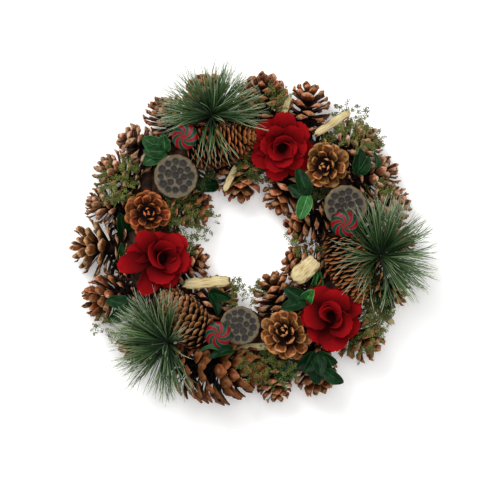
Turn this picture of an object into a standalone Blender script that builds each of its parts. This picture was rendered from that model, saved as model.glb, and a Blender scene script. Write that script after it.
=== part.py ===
"""Pinecone wreath lying on its back.

A twisted vine ring carries open and long pine cones, cones standing on end, lotus pods, wood-shaving roses,
swirled sweets, needle sprays, leaf sprigs, wood chips and moss.

The object is in metres, +Z up, and stands on the plane z = 0. The numbers below are millimetres and degrees,
measured from the middle of the vine ring, with +X to the right and +Y to the top of the wreath.
"""

import math
import random

import bmesh
import bpy
from mathutils import Matrix, Vector
from mathutils.bvhtree import BVHTree

MM = 0.001
UPWARD = Vector((0, 0, 1))

# Where the ring's middle lies, so that the whole wreath is centred on the origin.
RING_MIDDLE = (-11.5, -6.5)
RING_RADIUS = 105.0
RING_HALF_WIDTH = 19.0
RING_HEIGHT = 34.0
RING_STRANDS = 5
RING_TURNS = 7
RING_SEGMENTS = 36
RING_SIDES = 10
# Depth of the grooves between the strands, as a share of the ring's half width.
RING_RIDGE = 0.07
# Height below which the strands are pressed flat.
RING_FLAT = 2.6

# Clear space that every piece keeps to its neighbours.
MARGIN = 0.45
# How far off a piece starts before it is slid to its seat, and the farthest that it may go.
SEAT_START = 34.0
SEAT_TRAVEL = 90.0
DROP_START = 80.0
DROP_TRAVEL = 140.0
FLOOR_CLEARANCE = 0.8
# First and last step of a slide, and what a step is divided by when it would meet something.
SLIDE_STEP = 1.0
SLIDE_FINEST = 0.05
SLIDE_DIVISOR = 3
# Blades that start side by side may touch over this much of their length, or this share of it if less.
ROOT_REACH = 3.0
ROOT_SHARE = 0.3
NECK_LENGTH = 1.5

# name: (angle on the ring, angle round the ring's tube, aim azimuth, aim elevation, length, radius)
# The tube angle is 0 outside, 90 on top and 180 inside.
OUTER_CONES = {
    "cone_outer_01": (105, 24, 105, 18, 48, 25),
    "cone_outer_02": (83, 32, 84, 34, 48, 27),
    "cone_outer_03": (62, 14, 82, 8, 52, 24),
    "cone_outer_04": (41, 22, 42, 18, 47, 25),
    "cone_outer_05": (27, 12, 28, 12, 46, 24),
    "cone_outer_06": (14, 10, 14, 8, 46, 24),
    "cone_outer_07": (1, 5, -2, 4, 46, 23),
    "cone_outer_08": (-18, 12, -20, 10, 50, 25),
    "cone_outer_09": (-40, 12, -41, 6, 50, 26),
    "cone_outer_10": (-61, 10, -70, 4, 50, 24),
    "cone_outer_11": (-79, 10, -78, 4, 46, 20),
    "cone_outer_13": (224, 12, 221, 6, 48, 24),
    "cone_outer_14": (203, 10, 200, 4, 50, 25),
    "cone_outer_15": (183, 10, 181, 3, 53, 28),
    "cone_outer_16": (166, 5, 166, 0, 44, 21),
    "cone_outer_17": (153, 15, 151, 10, 46, 23),
    "cone_outer_18": (139, 20, 138, 16, 46, 23),
    "cone_outer_19": (123, 15, 121, 12, 48, 23),
}
INNER_CONES = {
    "cone_inner_01": (94, 172, 268, 6, 44, 24),
    "cone_inner_02": (56, 172, 246, 6, 44, 25),
    "cone_inner_03": (17, 175, 197, 4, 42, 24),
    "cone_inner_04": (-23, 175, 158, 4, 42, 24),
    "cone_inner_05": (-63, 172, 110, 6, 44, 25),
    "cone_inner_06": (242, 175, 60, 4, 41, 23),
    "cone_inner_07": (199, 172, 12, 6, 42, 24),
    "cone_inner_08": (147, 175, -34, 4, 42, 23),
}
# name: (angle on the ring, angle round the tube, aim azimuth, aim elevation, length, radius)
ROSETTES = {
    "rosette_cone_right": (43.9, 72, 225, 84, 38, 26),
    "rosette_cone_left": (164.6, 95, 20, 84, 36, 25),
    "rosette_cone_bottom": (-67, 88, 120, 76, 40, 28),
}
# name: (x, y of the middle, aim azimuth, aim elevation, length, radius)
LONG_CONES = {
    "long_cone_top": (-21, 97, 15, 3, 76, 24),
    "long_cone_right": (104, -29, -71, 3, 78, 24),
    "long_cone_left": (-63, -74, 133, 5, 74, 23),
}
# (x, y, z of the middle, aim azimuth, aim elevation, length, radius)
BIG_CONE = (-24, -134, 38, -4, 2, 92, 40)
# name: (x, y of the face's middle, tilt azimuth, tilt, radius)
PODS = {
    "lotus_pod_left": (-70, 64, 215, 8, 22),
    "lotus_pod_right": (99, 34, 250, 8, 21.5),
    "lotus_pod_bottom": (-6, -84, 90, 15, 20),
}
# name: (x, y of the bloom's middle, tilt azimuth, tilt, radius, turn)
ROSES = {
    "rose_top": (36, 98, -80, 14, 31, 10),
    "rose_right": (86, -82.5, 100, 8, 30, 40),
    "rose_left": (-96.5, -25, 30, 16, 33, 0),
}
# name: (x, y, tilt azimuth, tilt)
SWEETS = {
    "swirl_sweet_top": (-60, 103, 170, 16),
    "swirl_sweet_right": (97.5, 17, 250, 10),
    "swirl_sweet_bottom": (-27, -93, 200, 8),
}
SWEET_RADIUS = 13.5
SWEET_THICKNESS = 7.0
# name: (hub x, hub y, hub height, first azimuth, sweep of azimuths, needle length)
SPRAYS = {
    "needle_spray_top": (-34, 125, 70, 0, 360, 57),
    "needle_spray_right": (134, -15, 56, 0, 360, 63),
    "needle_spray_left": (-77, -101, 60, 75, 240, 64),
}
# name: (x, y, azimuth of the length, length, width, thickness)
CHIPS = {
    "wood_chip_top": (-16, 62, 66, 26, 8, 4),
    "wood_chip_left": (-39, -41.5, 4, 46, 13, 6),
    "wood_chip_right": (59, -29, 42, 29, 20, 7),
    "wood_chip_outer": (88, 119, 36, 34, 11, 6),
}
# name: (x, y of the joint, [(leaf azimuth, elevation, length, width), ...])
SPRIGS = {
    "leaf_sprig_upper_left": (-80, 89, [(150, 16, 27, 18), (205, 14, 25, 17), (100, 34, 20, 12)]),
    "leaf_sprig_lower_left": (-112, -64, [(170, 12, 27, 14), (215, 10, 29, 14)]),
    "leaf_sprig_hole": (-36, -51, [(-18, 14, 24, 12), (-62, 12, 23, 11)]),
    "leaf_sprig_inner_right": (60, -60, [(150, 20, 24, 14), (195, 14, 26, 13), (70, 26, 20, 14)]),
    "leaf_sprig_lower_right": (
        72,
        -112,
        [(-60, 10, 28, 16), (-92, 8, 30, 17), (-135, 12, 26, 14), (-30, 16, 22, 13)],
    ),
    "leaf_sprig_upper_right": (62, 46, [(112, 18, 28, 14), (-110, 14, 25, 14), (160, 8, 20, 12)]),
    "leaf_sprig_right": (112, 66, [(85, 22, 25, 14), (50, 30, 20, 10)]),
}
# name: (x, y, azimuth, half length, half width, half height)
MOSS = {
    "moss_left": (-63, 22, 105, 34, 16, 9),
    "moss_bottom": (27, -126, -8, 25, 13, 8),
    "moss_right": (124, -90, 60, 28, 15, 9),
}

CONE_BROWN = (0.21, 0.085, 0.035, 1)
CONE_TAN = (0.33, 0.16, 0.06, 1)
COLOURS = {
    "cone": (CONE_BROWN, 0.75),
    "tan_cone": (CONE_TAN, 0.7),
    "vine": ((0.10, 0.05, 0.025, 1), 0.85),
    "needle": ((0.05, 0.12, 0.05, 1), 0.6),
    "pod": ((0.16, 0.15, 0.12, 1), 0.8),
    "rose": ((0.42, 0.008, 0.01, 1), 0.85),
    "sweet": ((0.45, 0.02, 0.02, 1), 0.3),
    "chip": ((0.72, 0.56, 0.32, 1), 0.8),
    "leaf": ((0.012, 0.12, 0.04, 1), 0.5),
    "moss": ((0.11, 0.13, 0.03, 1), 0.9),
}

placed = {}


def clear_scene():
    for old in list(bpy.data.objects):
        bpy.data.objects.remove(old, do_unlink=True)


def lerp(a, b, t):
    return a + (b - a) * t


def aim_vector(azimuth, elevation):
    a, e = math.radians(azimuth), math.radians(elevation)
    return Vector((math.cos(a) * math.cos(e), math.sin(a) * math.cos(e), math.sin(e)))


def frame_at(origin, axis, roll=0.0):
    """Matrix whose Z runs along the axis, starting at the origin."""
    turn = Vector((0, 0, 1)).rotation_difference(axis).to_matrix().to_4x4()
    return Matrix.Translation(origin) @ turn @ Matrix.Rotation(math.radians(roll), 4, "Z")


def material_named(kind):
    found = bpy.data.materials.get(kind)
    if found:
        return found
    colour, roughness = COLOURS[kind]
    made = bpy.data.materials.new(kind)
    made.use_nodes = True
    shader = made.node_tree.nodes["Principled BSDF"]
    shader.inputs["Base Color"].default_value = colour
    shader.inputs["Roughness"].default_value = roughness
    shader.inputs["Metallic"].default_value = 0.0
    made.diffuse_color = colour
    return made


def limits(points):
    return [min(p[i] for p in points) for i in range(3)], [max(p[i] for p in points) for i in range(3)]


def remember(name, bm):
    """Keeps a piece's surface, so that later pieces stay clear of it."""
    shape = bm.copy()
    bmesh.ops.triangulate(shape, faces=shape.faces)
    placed[name] = (BVHTree.FromBMesh(shape), *limits([v.co for v in shape.verts]))
    shape.free()


def remember_floor():
    """Level a little above the plane that the ring rests on, which the scales stay above."""
    corners = [Vector((x * 300, y * 300, FLOOR_CLEARANCE)) for x, y in ((-1, -1), (1, -1), (1, 1), (-1, 1))]
    placed["floor"] = (BVHTree.FromPolygons(corners, [(0, 1, 2, 3)]), *limits(corners))


def touches(points, faces, own=""):
    """Whether a surface crosses any piece that is already placed."""
    low, high = limits(points)
    tree = BVHTree.FromPolygons(points, faces)
    for name, (other, other_low, other_high) in placed.items():
        if name == own or any(low[i] > other_high[i] or high[i] < other_low[i] for i in range(3)):
            continue
        if tree.overlap(other):
            return True
    return False


def slide_until_touching(bm, direction, own, start=SEAT_START, most=SEAT_TRAVEL):
    """Brings a piece from clear space along a direction until only the margin is left to what it meets."""
    bm.normal_update()
    bm.verts.index_update()
    grown = [v.co + v.normal * MARGIN for v in bm.verts]
    faces = [[v.index for v in f.verts] for f in bm.faces]
    direction = direction.normalized()
    travel = -start
    step = SLIDE_STEP
    while step > SLIDE_FINEST and travel < most - start:
        ahead = direction * (travel + step)
        if touches([p + ahead for p in grown], faces, own):
            step /= SLIDE_DIVISOR
        else:
            travel += step
    bmesh.ops.translate(bm, verts=bm.verts, vec=direction * travel)


def lattice_body(matrix, rows, around):
    """Closed body turned about the matrix's Z, whose surface is a lattice of diamonds.

    rows holds (height, radius) from the base to the tip. Returns the mesh, its diamonds as (face, row)
    and the cap at the base.
    """
    bm = bmesh.new()
    step = 2 * math.pi / around
    rings = []
    for j, (height, radius) in enumerate(rows):
        ring = []
        for k in range(around):
            angle = (k + 0.5 * (j % 2)) * step
            point = Vector((radius * math.cos(angle), radius * math.sin(angle), height))
            ring.append(bm.verts.new(matrix @ point))
        rings.append(ring)
    last = len(rows) - 1
    diamonds = []
    for j in range(last + 1):
        shift = j % 2
        for k in range(around):
            left, right = rings[j][k], rings[j][(k + 1) % around]
            middle = (k + shift) % around
            if j == 0:
                bm.faces.new((left, right, rings[1][middle]))
            elif j == last:
                bm.faces.new((rings[j - 1][middle], right, left))
            else:
                face = bm.faces.new((rings[j - 1][middle], right, rings[j + 1][middle], left))
                diamonds.append((face, j))
    base = bm.faces.new(list(reversed(rings[0])))
    bm.faces.new(rings[last])
    return bm, diamonds, base


def band(lower, upper):
    """Triangles between two rings of the same count, always split the same way."""
    count = len(lower)
    faces = []
    for i in range(count):
        nxt = (i + 1) % count
        faces.append((lower[i], lower[nxt], upper[nxt]))
        faces.append((lower[i], upper[nxt], upper[i]))
    return faces


def grow(bm, face, sections):
    """Draws a face out through the sections, each with as many points as the face has corners."""
    ring = list(face.verts)
    bm.faces.remove(face)
    for points in sections:
        new = [bm.verts.new(p) for p in points]
        for corners in band(ring, new):
            bm.faces.new(corners)
        ring = new
    return bm.faces.new(ring)


def blade(root, direction, up, length, widths, thickness, curl=0.0, cup=0.0, roll=0.0):
    """Sections of a blade: each has its lower, right, upper and left point.

    widths holds (share of the length, half width). curl turns the blade towards up as it runs out, in
    degrees, cup bends its sides towards up, as a share of the half width, and roll turns it about its length.
    """
    direction = direction.normalized()
    side = up.cross(direction).normalized()
    up = direction.cross(side)
    turn = Matrix.Rotation(math.radians(roll), 3, direction)
    side, up = turn @ side, turn @ up
    sections = []
    point, last_share = root.copy(), 0.0
    for share, half in widths:
        bend = math.radians(curl) * share
        along = direction * math.cos(bend) + up * math.sin(bend)
        lifted = up * math.cos(bend) - direction * math.sin(bend)
        point = point + along * length * (share - last_share)
        last_share = share
        rise = lifted * half * cup
        sections.append(
            [
                point - lifted * thickness / 2,
                point + side * half + rise,
                point + lifted * thickness / 2,
                point - side * half + rise,
            ]
        )
    return sections


def swollen(ring, amount):
    middle = sum(ring, Vector()) / len(ring)
    return [p + (p - middle).normalized() * amount for p in ring]


def is_clear(root_ring, sections, own, own_blades):
    """Whether a blade misses the other pieces and the blades beside it."""
    count = len(root_ring)
    length = (sum(sections[-1], Vector()) - sum(root_ring, Vector())).length / count
    ahead = (sum(sections[-1], Vector()) - sum(root_ring, Vector())).normalized() * MARGIN

    def surface(near):
        start = [lerp(a, b, near) for a, b in zip(root_ring, sections[0])]
        rings = [swollen(ring, MARGIN) for ring in [start] + sections]
        rings[-1] = [p + ahead for p in rings[-1]]
        points = [p for ring in rings for p in ring]
        order = [list(range(r * count, (r + 1) * count)) for r in range(len(rings))]
        faces = [corners for lower, upper in zip(order, order[1:]) for corners in band(lower, upper)]
        faces.append(tuple(order[-1]))
        return points, faces

    if touches(*surface(0.0), own):
        return False
    tree = BVHTree.FromPolygons(*surface(min(ROOT_SHARE, ROOT_REACH / length) * len(sections)))
    if any(tree.overlap(other) for other in own_blades):
        return False
    own_blades.append(tree)
    return True


def grow_clear(bm, face, shapes, own, own_blades):
    """Grows the first of the shapes that is clear of everything, if any is."""
    root_ring = [v.co.copy() for v in face.verts]
    for sections in shapes:
        if is_clear(root_ring, sections, own, own_blades):
            grow(bm, face, sections)
            break


def add_stem(bm, base, radius, length, away):
    """Draws the base cap out to a stem."""
    middle = base.calc_center_median()
    neck = [middle + (v.co - middle).normalized() * radius + away * NECK_LENGTH for v in base.verts]
    end = [p + away * (length - NECK_LENGTH) for p in neck]
    grow(bm, base, [neck, end])


def to_object(name, bm, kind, parent):
    """Turns a finished mesh into a named object in metres, whose origin is its own middle."""
    bmesh.ops.recalc_face_normals(bm, faces=bm.faces)
    if bm.calc_volume(signed=True) < 0:
        bmesh.ops.reverse_faces(bm, faces=bm.faces)
    low, high = limits([v.co for v in bm.verts])
    middle = Vector([(a + b) / 2 for a, b in zip(low, high)])
    middle.z = low[2]
    bmesh.ops.translate(bm, verts=bm.verts, vec=-middle)
    bmesh.ops.scale(bm, verts=bm.verts, vec=(MM, MM, MM))
    bmesh.ops.triangulate(bm, faces=bm.faces)
    mesh = bpy.data.meshes.new(name)
    bm.to_mesh(mesh)
    bm.free()
    mesh.materials.append(material_named(kind))
    made = bpy.data.objects.new(name, mesh)
    made.location = middle * MM
    made.parent = parent
    bpy.context.scene.collection.objects.link(made)
    return made


def vine_ring():
    """Ring of strands laid like a rope, flat where it lies on its back."""
    bm = bmesh.new()
    rings = []
    for i in range(RING_SEGMENTS):
        along = 2 * math.pi * i / RING_SEGMENTS
        ring = []
        for j in range(RING_SIDES):
            around = 2 * math.pi * j / RING_SIDES
            ridge = 1 + RING_RIDGE * math.cos(RING_STRANDS * around - RING_TURNS * along)
            out = RING_RADIUS + RING_HALF_WIDTH * ridge * math.cos(around)
            height = RING_HEIGHT / 2 * (1 + ridge * math.sin(around))
            height = height if height > RING_FLAT else 0.0
            ring.append(bm.verts.new((out * math.cos(along), out * math.sin(along), height)))
        rings.append(ring)
    for i in range(RING_SEGMENTS):
        here, there = rings[i], rings[(i + 1) % RING_SEGMENTS]
        for j in range(RING_SIDES):
            nxt = (j + 1) % RING_SIDES
            bm.faces.new((here[j], there[j], there[nxt], here[nxt]))
    return bm


def ring_point(angle, tube_angle):
    """Point on the ring's smooth outline."""
    along, around = math.radians(angle), math.radians(tube_angle)
    out = RING_RADIUS + RING_HALF_WIDTH * math.cos(around)
    height = RING_HEIGHT / 2 * (1 + math.sin(around))
    return Vector((out * math.cos(along), out * math.sin(along), height))


# Open cone: share of the length and of the radius for each row of the core, then for each row of scales its
# elevation, length as a share of the radius, and half width as a share of the radius.
OPEN_CORE = ((0.0, 0.2), (0.16, 0.40), (0.34, 0.42), (0.53, 0.36), (0.72, 0.24), (0.88, 0.08))
OPEN_SCALES = ((-6, 0.62, 0.32), (12, 0.68, 0.33), (32, 0.66, 0.30), (58, 0.54, 0.20))
ROSETTE_CORE = ((0.0, 0.22), (0.2, 0.42), (0.45, 0.38), (0.68, 0.24), (0.86, 0.08))
ROSETTE_SCALES = ((4, 0.66, 0.34), (30, 0.66, 0.30), (62, 0.50, 0.19))
BIG_CORE = (
    (0.0, 0.12),
    (0.1, 0.28),
    (0.22, 0.34),
    (0.35, 0.36),
    (0.49, 0.34),
    (0.63, 0.29),
    (0.77, 0.2),
    (0.9, 0.07),
)
BIG_SCALES = (
    (-22, 0.56, 0.20),
    (-8, 0.66, 0.22),
    (4, 0.68, 0.22),
    (16, 0.68, 0.21),
    (30, 0.64, 0.18),
    (52, 0.5, 0.13),
)
LONG_CORE = (
    (0.0, 0.28),
    (0.07, 0.56),
    (0.16, 0.68),
    (0.26, 0.73),
    (0.36, 0.74),
    (0.46, 0.71),
    (0.56, 0.66),
    (0.66, 0.58),
    (0.76, 0.47),
    (0.86, 0.33),
    (0.95, 0.14),
)
LONG_SCALES = (
    (14, 0.27, 0.23),
    (24, 0.34, 0.27),
    (32, 0.35, 0.28),
    (36, 0.35, 0.28),
    (38, 0.35, 0.27),
    (40, 0.34, 0.26),
    (44, 0.33, 0.23),
    (50, 0.31, 0.19),
    (58, 0.27, 0.13),
)
# Thickness of a scale as a share of the cone's radius and at the least, the degrees that it curls up by, the
# share of its half width that its sides are raised by, and how far its lean and its length may differ.
SCALE_THICKNESS = 0.11
SCALE_THINNEST = 1.6
SCALE_CURL = 10
SCALE_CUP = 0.12
LEAN_SPREAD = 5
LENGTH_SPREAD = 0.07
# Share of the full length and added lean, in degrees, that a scale tries in turn.
TRIES = (
    (1, 0),
    (1, 9),
    (1, -9),
    (0.9, 0),
    (0.9, 14),
    (0.9, -14),
    (0.8, 0),
    (0.72, 0),
    (0.64, 0),
    (0.56, 0),
    (0.48, 0),
)


def cone_core(core, length, radius, around, origin, axis, roll):
    rows = [(share * length, size * radius) for share, size in core]
    return lattice_body(frame_at(origin, axis, roll), rows, around)


def grow_scales(name, bm, diamonds, axis, radius, scales, outline):
    """Grows one scale from each diamond, shortened where a neighbour is in its way."""
    draw = random.Random(name)
    own_blades = []
    origin = sum((v.co for v in bm.verts), Vector()) / len(bm.verts)
    for face, row in diamonds:
        elevation, share, half = scales[row - 1]
        root = face.calc_center_median()
        out = root - origin - axis * (root - origin).dot(axis)
        out.normalize()
        lean = elevation + draw.uniform(-LEAN_SPREAD, LEAN_SPREAD)
        full = share * radius * draw.uniform(1 - LENGTH_SPREAD, 1 + LENGTH_SPREAD)
        thick = max(SCALE_THINNEST, SCALE_THICKNESS * radius)
        widths = [(t, w * half * radius) for t, w in outline]
        shapes = []
        for part, extra in TRIES:
            e = math.radians(lean + extra)
            direction = out * math.cos(e) + axis * math.sin(e)
            up = axis * math.cos(e) - out * math.sin(e)
            shapes.append(blade(root, direction, up, full * part, widths, thick, SCALE_CURL, SCALE_CUP))
        grow_clear(bm, face, shapes, name, own_blades)
    remember(name, bm)


SCALE_WIDTHS = ((1.0, 1.0),)
ROUNDED_WIDTHS = ((0.66, 1.0), (1.0, 0.6))
# Scales in one row of a cone, by its kind. Outer cones above the wide radius have one more.
OPEN_AROUND = 6
WIDE_AROUND = 7
WIDE_RADIUS = 24
LONG_AROUND = 7
BIG_AROUND = 8
ROSETTE_AROUND = 7
# Turn of each kind of cone about its own length. Seated cones turn by this many times their ring angle.
ROLL_TIMES = 3
LONG_ROLL = 11
BIG_ROLL = 5


def seated_on_ring(name, entry, core, around):
    """Core of a cone whose base is slid along its own axis until it meets the ring."""
    angle, tube_angle, azimuth, elevation, length, radius = entry
    axis = aim_vector(azimuth, elevation)
    base = ring_point(angle, tube_angle)
    bm, diamonds, _ = cone_core(core, length, radius, around, base, axis, angle * ROLL_TIMES)
    slide_until_touching(bm, -axis, name)
    remember(name, bm)
    return bm, diamonds, axis


def lower_onto(name, bm):
    """Lowers a piece from above until it rests on what lies below it."""
    slide_until_touching(bm, -UPWARD, name, DROP_START, DROP_TRAVEL)
    remember(name, bm)


def long_cone(name, entry):
    """Long cone with its scales nearly closed, laid on the top of the ring."""
    x, y, azimuth, elevation, length, radius = entry
    axis = aim_vector(azimuth, elevation)
    middle = Vector((x, y, RING_HEIGHT + radius))
    base = middle - axis * length / 2
    bm, diamonds, _ = cone_core(LONG_CORE, length, radius, LONG_AROUND, base, axis, LONG_ROLL)
    grow_scales(name, bm, diamonds, axis, radius, LONG_SCALES, SCALE_WIDTHS)
    lower_onto(name, bm)
    return bm


def big_cone(name):
    """Large open cone lying along the ring's outer edge, its core slid against the ring."""
    x, y, z, azimuth, elevation, length, radius = BIG_CONE
    axis = aim_vector(azimuth, elevation)
    middle = Vector((x, y, z))
    base = middle - axis * length / 2
    bm, diamonds, _ = cone_core(BIG_CORE, length, radius, BIG_AROUND, base, axis, BIG_ROLL)
    inward = Vector((x, y, 0)).normalized() * RING_RADIUS + Vector((0, 0, RING_HEIGHT / 2)) - middle
    slide_until_touching(bm, inward, name)
    remember(name, bm)
    return bm, diamonds, axis


# Circles of seed pits: number, distance from the middle as a share of the pod's radius, and turn.
PIT_CIRCLES = ((1, 0.0, 0), (5, 0.40, 22), (10, 0.72, 0))
PIT_SHARE = 0.145
PIT_FLOOR_SHARE = 0.1
PIT_SIDES = 5
PIT_DEPTH = 2.5
# Height above the ring's top at which a pod's face is made, as a share of its radius.
POD_HEIGHT = 1.5


def pod_cutters(matrix, radius):
    """Seed pits, narrowing downwards."""
    holes = bmesh.new()
    for number, share, turn in PIT_CIRCLES:
        for i in range(number):
            angle = math.radians(turn + 360 * i / number)
            at = matrix @ Vector((share * radius * math.cos(angle), share * radius * math.sin(angle), 0))
            bmesh.ops.create_cone(
                holes,
                cap_ends=True,
                segments=PIT_SIDES,
                radius1=PIT_FLOOR_SHARE * radius,
                radius2=PIT_SHARE * radius,
                depth=2 * PIT_DEPTH,
                matrix=Matrix.Translation(at) @ matrix.to_3x3().to_4x4(),
            )
    return holes


def cut_away(bm, holes):
    """Takes the holes out of a mesh with one exact Boolean."""
    meshes = []
    for source in (bm, holes):
        mesh = bpy.data.meshes.new("shape")
        source.to_mesh(mesh)
        source.free()
        meshes.append(mesh)
    body, cutter = (bpy.data.objects.new("shape", mesh) for mesh in meshes)
    for made in (body, cutter):
        bpy.context.scene.collection.objects.link(made)
    cut = body.modifiers.new("Pits", "BOOLEAN")
    cut.object = cutter
    cut.operation = "DIFFERENCE"
    bpy.context.view_layer.update()
    result = bmesh.new()
    result.from_object(body, bpy.context.evaluated_depsgraph_get())
    for made in (body, cutter):
        bpy.data.objects.remove(made, do_unlink=True)
    return result


# Lotus pod, turned: (height, radius) as shares of the pod's radius, from the stem up to the rim.
POD_PROFILE = ((-1.35, 0.10), (-0.95, 0.11), (-0.72, 0.40), (-0.28, 0.84), (-0.05, 0.97), (0.0, 0.9))
POD_SIDES = 14


def turned(matrix, rows, around):
    bm = bmesh.new()
    rings = []
    for height, radius in rows:
        ring = []
        for k in range(around):
            angle = 2 * math.pi * k / around
            point = Vector((radius * math.cos(angle), radius * math.sin(angle), height))
            ring.append(bm.verts.new(matrix @ point))
        rings.append(ring)
    for low, high in zip(rings, rings[1:]):
        for k in range(around):
            nxt = (k + 1) % around
            bm.faces.new((low[k], low[nxt], high[nxt], high[k]))
    bm.faces.new(list(reversed(rings[0])))
    bm.faces.new(rings[-1])
    return bm


def tilted(azimuth, tilt):
    return aim_vector(azimuth, 90 - tilt)


def lotus_pod(name, entry):
    x, y, azimuth, tilt, radius = entry
    matrix = frame_at(Vector((x, y, RING_HEIGHT + POD_HEIGHT * radius)), tilted(azimuth, tilt))
    bm = turned(matrix, [(h * radius, r * radius) for h, r in POD_PROFILE], POD_SIDES)
    bm = cut_away(bm, pod_cutters(matrix, radius))
    lower_onto(name, bm)
    return bm


ROSE_CORE = ((0.0, 0.10), (0.10, 0.17), (0.22, 0.17), (0.36, 0.12), (0.48, 0.05))
# For each whorl: elevation, length and half width as shares of the radius, and roll of its petals.
ROSE_PETALS = ((8, 0.92, 0.56, 13), (36, 0.70, 0.42, 15), (66, 0.50, 0.27, 20))
PETAL_WIDTHS = ((0.42, 0.74), (0.8, 1.0), (1.0, 0.66))
PETAL_THICKNESS = 1.3
PETAL_CURL = -18
PETAL_CUP = 0.28
# Shares of the full length and width that a petal tries in turn.
PETAL_TRIES = ((1.0, 1.0), (1.0, 0.9), (0.95, 0.8), (0.9, 0.7), (0.85, 0.6))
PETAL_LEAN_SPREAD = 4
ROSE_AROUND = 5
ROSE_STEM = 20.0
ROSE_STEM_RADIUS = 1.8


def rose(name, entry):
    """Bloom of three whorls of five cupped petals on a short stick."""
    x, y, azimuth, tilt, radius, turn = entry
    axis = tilted(azimuth, tilt)
    base = Vector((x, y, RING_HEIGHT + ROSE_STEM))
    bm, diamonds, cap = cone_core(ROSE_CORE, radius, radius, ROSE_AROUND, base, axis, turn)
    own_blades = []
    draw = random.Random(name)
    for face, row in diamonds:
        elevation, share, half, roll = ROSE_PETALS[row - 1]
        root = face.calc_center_median()
        out = root - base - axis * (root - base).dot(axis)
        out.normalize()
        e = math.radians(elevation + draw.uniform(-PETAL_LEAN_SPREAD, PETAL_LEAN_SPREAD))
        direction = out * math.cos(e) + axis * math.sin(e)
        up = axis * math.cos(e) - out * math.sin(e)
        shapes = [
            blade(
                root,
                direction,
                up,
                share * radius * long * draw.uniform(1 - LENGTH_SPREAD, 1 + LENGTH_SPREAD),
                [(t, w * half * radius * wide) for t, w in PETAL_WIDTHS],
                PETAL_THICKNESS,
                PETAL_CURL,
                PETAL_CUP,
                roll,
            )
            for long, wide in PETAL_TRIES
        ]
        grow_clear(bm, face, shapes, name, own_blades)
    add_stem(bm, cap, ROSE_STEM_RADIUS, ROSE_STEM, -axis)
    lower_onto(name, bm)
    return bm


SWEET_WAVES = 8
SWEET_RIDGE = 0.5
# The rim's radius at a ridge and at a groove, as shares, and the height of the middle.
SWEET_RIM = (1.02, 0.97)
SWEET_CROWN = 0.98
# Height above the ring's top at which a sweet is made.
SWEET_START = 10
# Height and radius, as shares, and the turn of the swirl at each circle of the sweet's dome.
SWEET_CIRCLES = ((0.0, 0.86, 52), (0.30, 1.0, 52), (0.72, 0.92, 46), (0.95, 0.55, 24))


def swirl_sweet(name, entry):
    """Domed round sweet whose ridges curl out from the middle."""
    x, y, azimuth, tilt = entry
    matrix = frame_at(Vector((x, y, RING_HEIGHT + SWEET_START)), tilted(azimuth, tilt))
    bm = bmesh.new()
    rings = []
    for level, (height, size, twist) in enumerate(SWEET_CIRCLES):
        ring = []
        for k in range(2 * SWEET_WAVES):
            angle = math.pi * k / SWEET_WAVES + math.radians(twist)
            ridge = (SWEET_RIDGE if k % 2 else -SWEET_RIDGE) if level >= 2 else 0.0
            scallop = SWEET_RIM[0 if k % 2 else 1] if level == 1 else 1.0
            out = SWEET_RADIUS * size * scallop
            point = Vector((out * math.cos(angle), out * math.sin(angle), SWEET_THICKNESS * height + ridge))
            ring.append(bm.verts.new(matrix @ point))
        rings.append(ring)
    for low, high in zip(rings, rings[1:]):
        for k in range(len(low)):
            nxt = (k + 1) % len(low)
            bm.faces.new((low[k], low[nxt], high[nxt], high[k]))
    bm.faces.new(list(reversed(rings[0])))
    top = bm.verts.new(matrix @ Vector((0, 0, SWEET_THICKNESS * SWEET_CROWN)))
    for k in range(len(rings[-1])):
        bm.faces.new((rings[-1][k], rings[-1][(k + 1) % len(rings[-1])], top))
    lower_onto(name, bm)
    return bm


# Needle twig: (height, radius) of its rows.
TWIG_LENGTH = 20.8
TWIG_ROWS = (
    (0, 2.0),
    (2.6, 3.4),
    (5.2, 3.4),
    (7.8, 3.4),
    (10.4, 3.4),
    (13.0, 3.4),
    (15.6, 3.4),
    (18.2, 3.2),
    (TWIG_LENGTH, 1.4),
)
TWIG_AROUND = 9
TWIG_STEM_RADIUS = 1.6
# How much more upright the twig stands than its stem.
TWIG_UPRIGHT = 2.2
SPRAY_FOOT_ANGLE = 30
NEEDLE_TIP = 0.45
# Elevation of the needles in the top row, and the steepest that one may be lifted to clear its neighbours.
SPRAY_TOP_LEAN = 34
SPRAY_STEEPEST = 52
# How far a needle's lean and azimuth may differ, and the share of the full length of the shortest.
NEEDLE_LEAN_SPREAD = 4
NEEDLE_TURN_SPREAD = 7
NEEDLE_SHORTEST = 0.86
# Degrees by which a needle is lifted and put aside in turn to clear its neighbours.
NEEDLE_LIFTS = range(0, 44, 4)
NEEDLE_ASIDES = (0, 5, -5)


def spray_twig(name, entry):
    """Short twig with a stem that runs down to the ring."""
    x, y, height, *_ = entry
    hub = Vector((x, y, height))
    foot = ring_point(math.degrees(math.atan2(y, x)), SPRAY_FOOT_ANGLE)
    axis = (hub - foot).normalized()
    upright = (axis + TWIG_UPRIGHT * UPWARD).normalized()
    bottom = hub - upright * TWIG_LENGTH / 2
    bm, diamonds, cap = lattice_body(frame_at(bottom, upright), TWIG_ROWS, TWIG_AROUND)
    add_stem(bm, cap, TWIG_STEM_RADIUS, (bottom - foot).length, (foot - bottom).normalized())
    slide_until_touching(bm, (foot - hub).normalized(), name)
    remember(name, bm)
    return bm, diamonds


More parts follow.
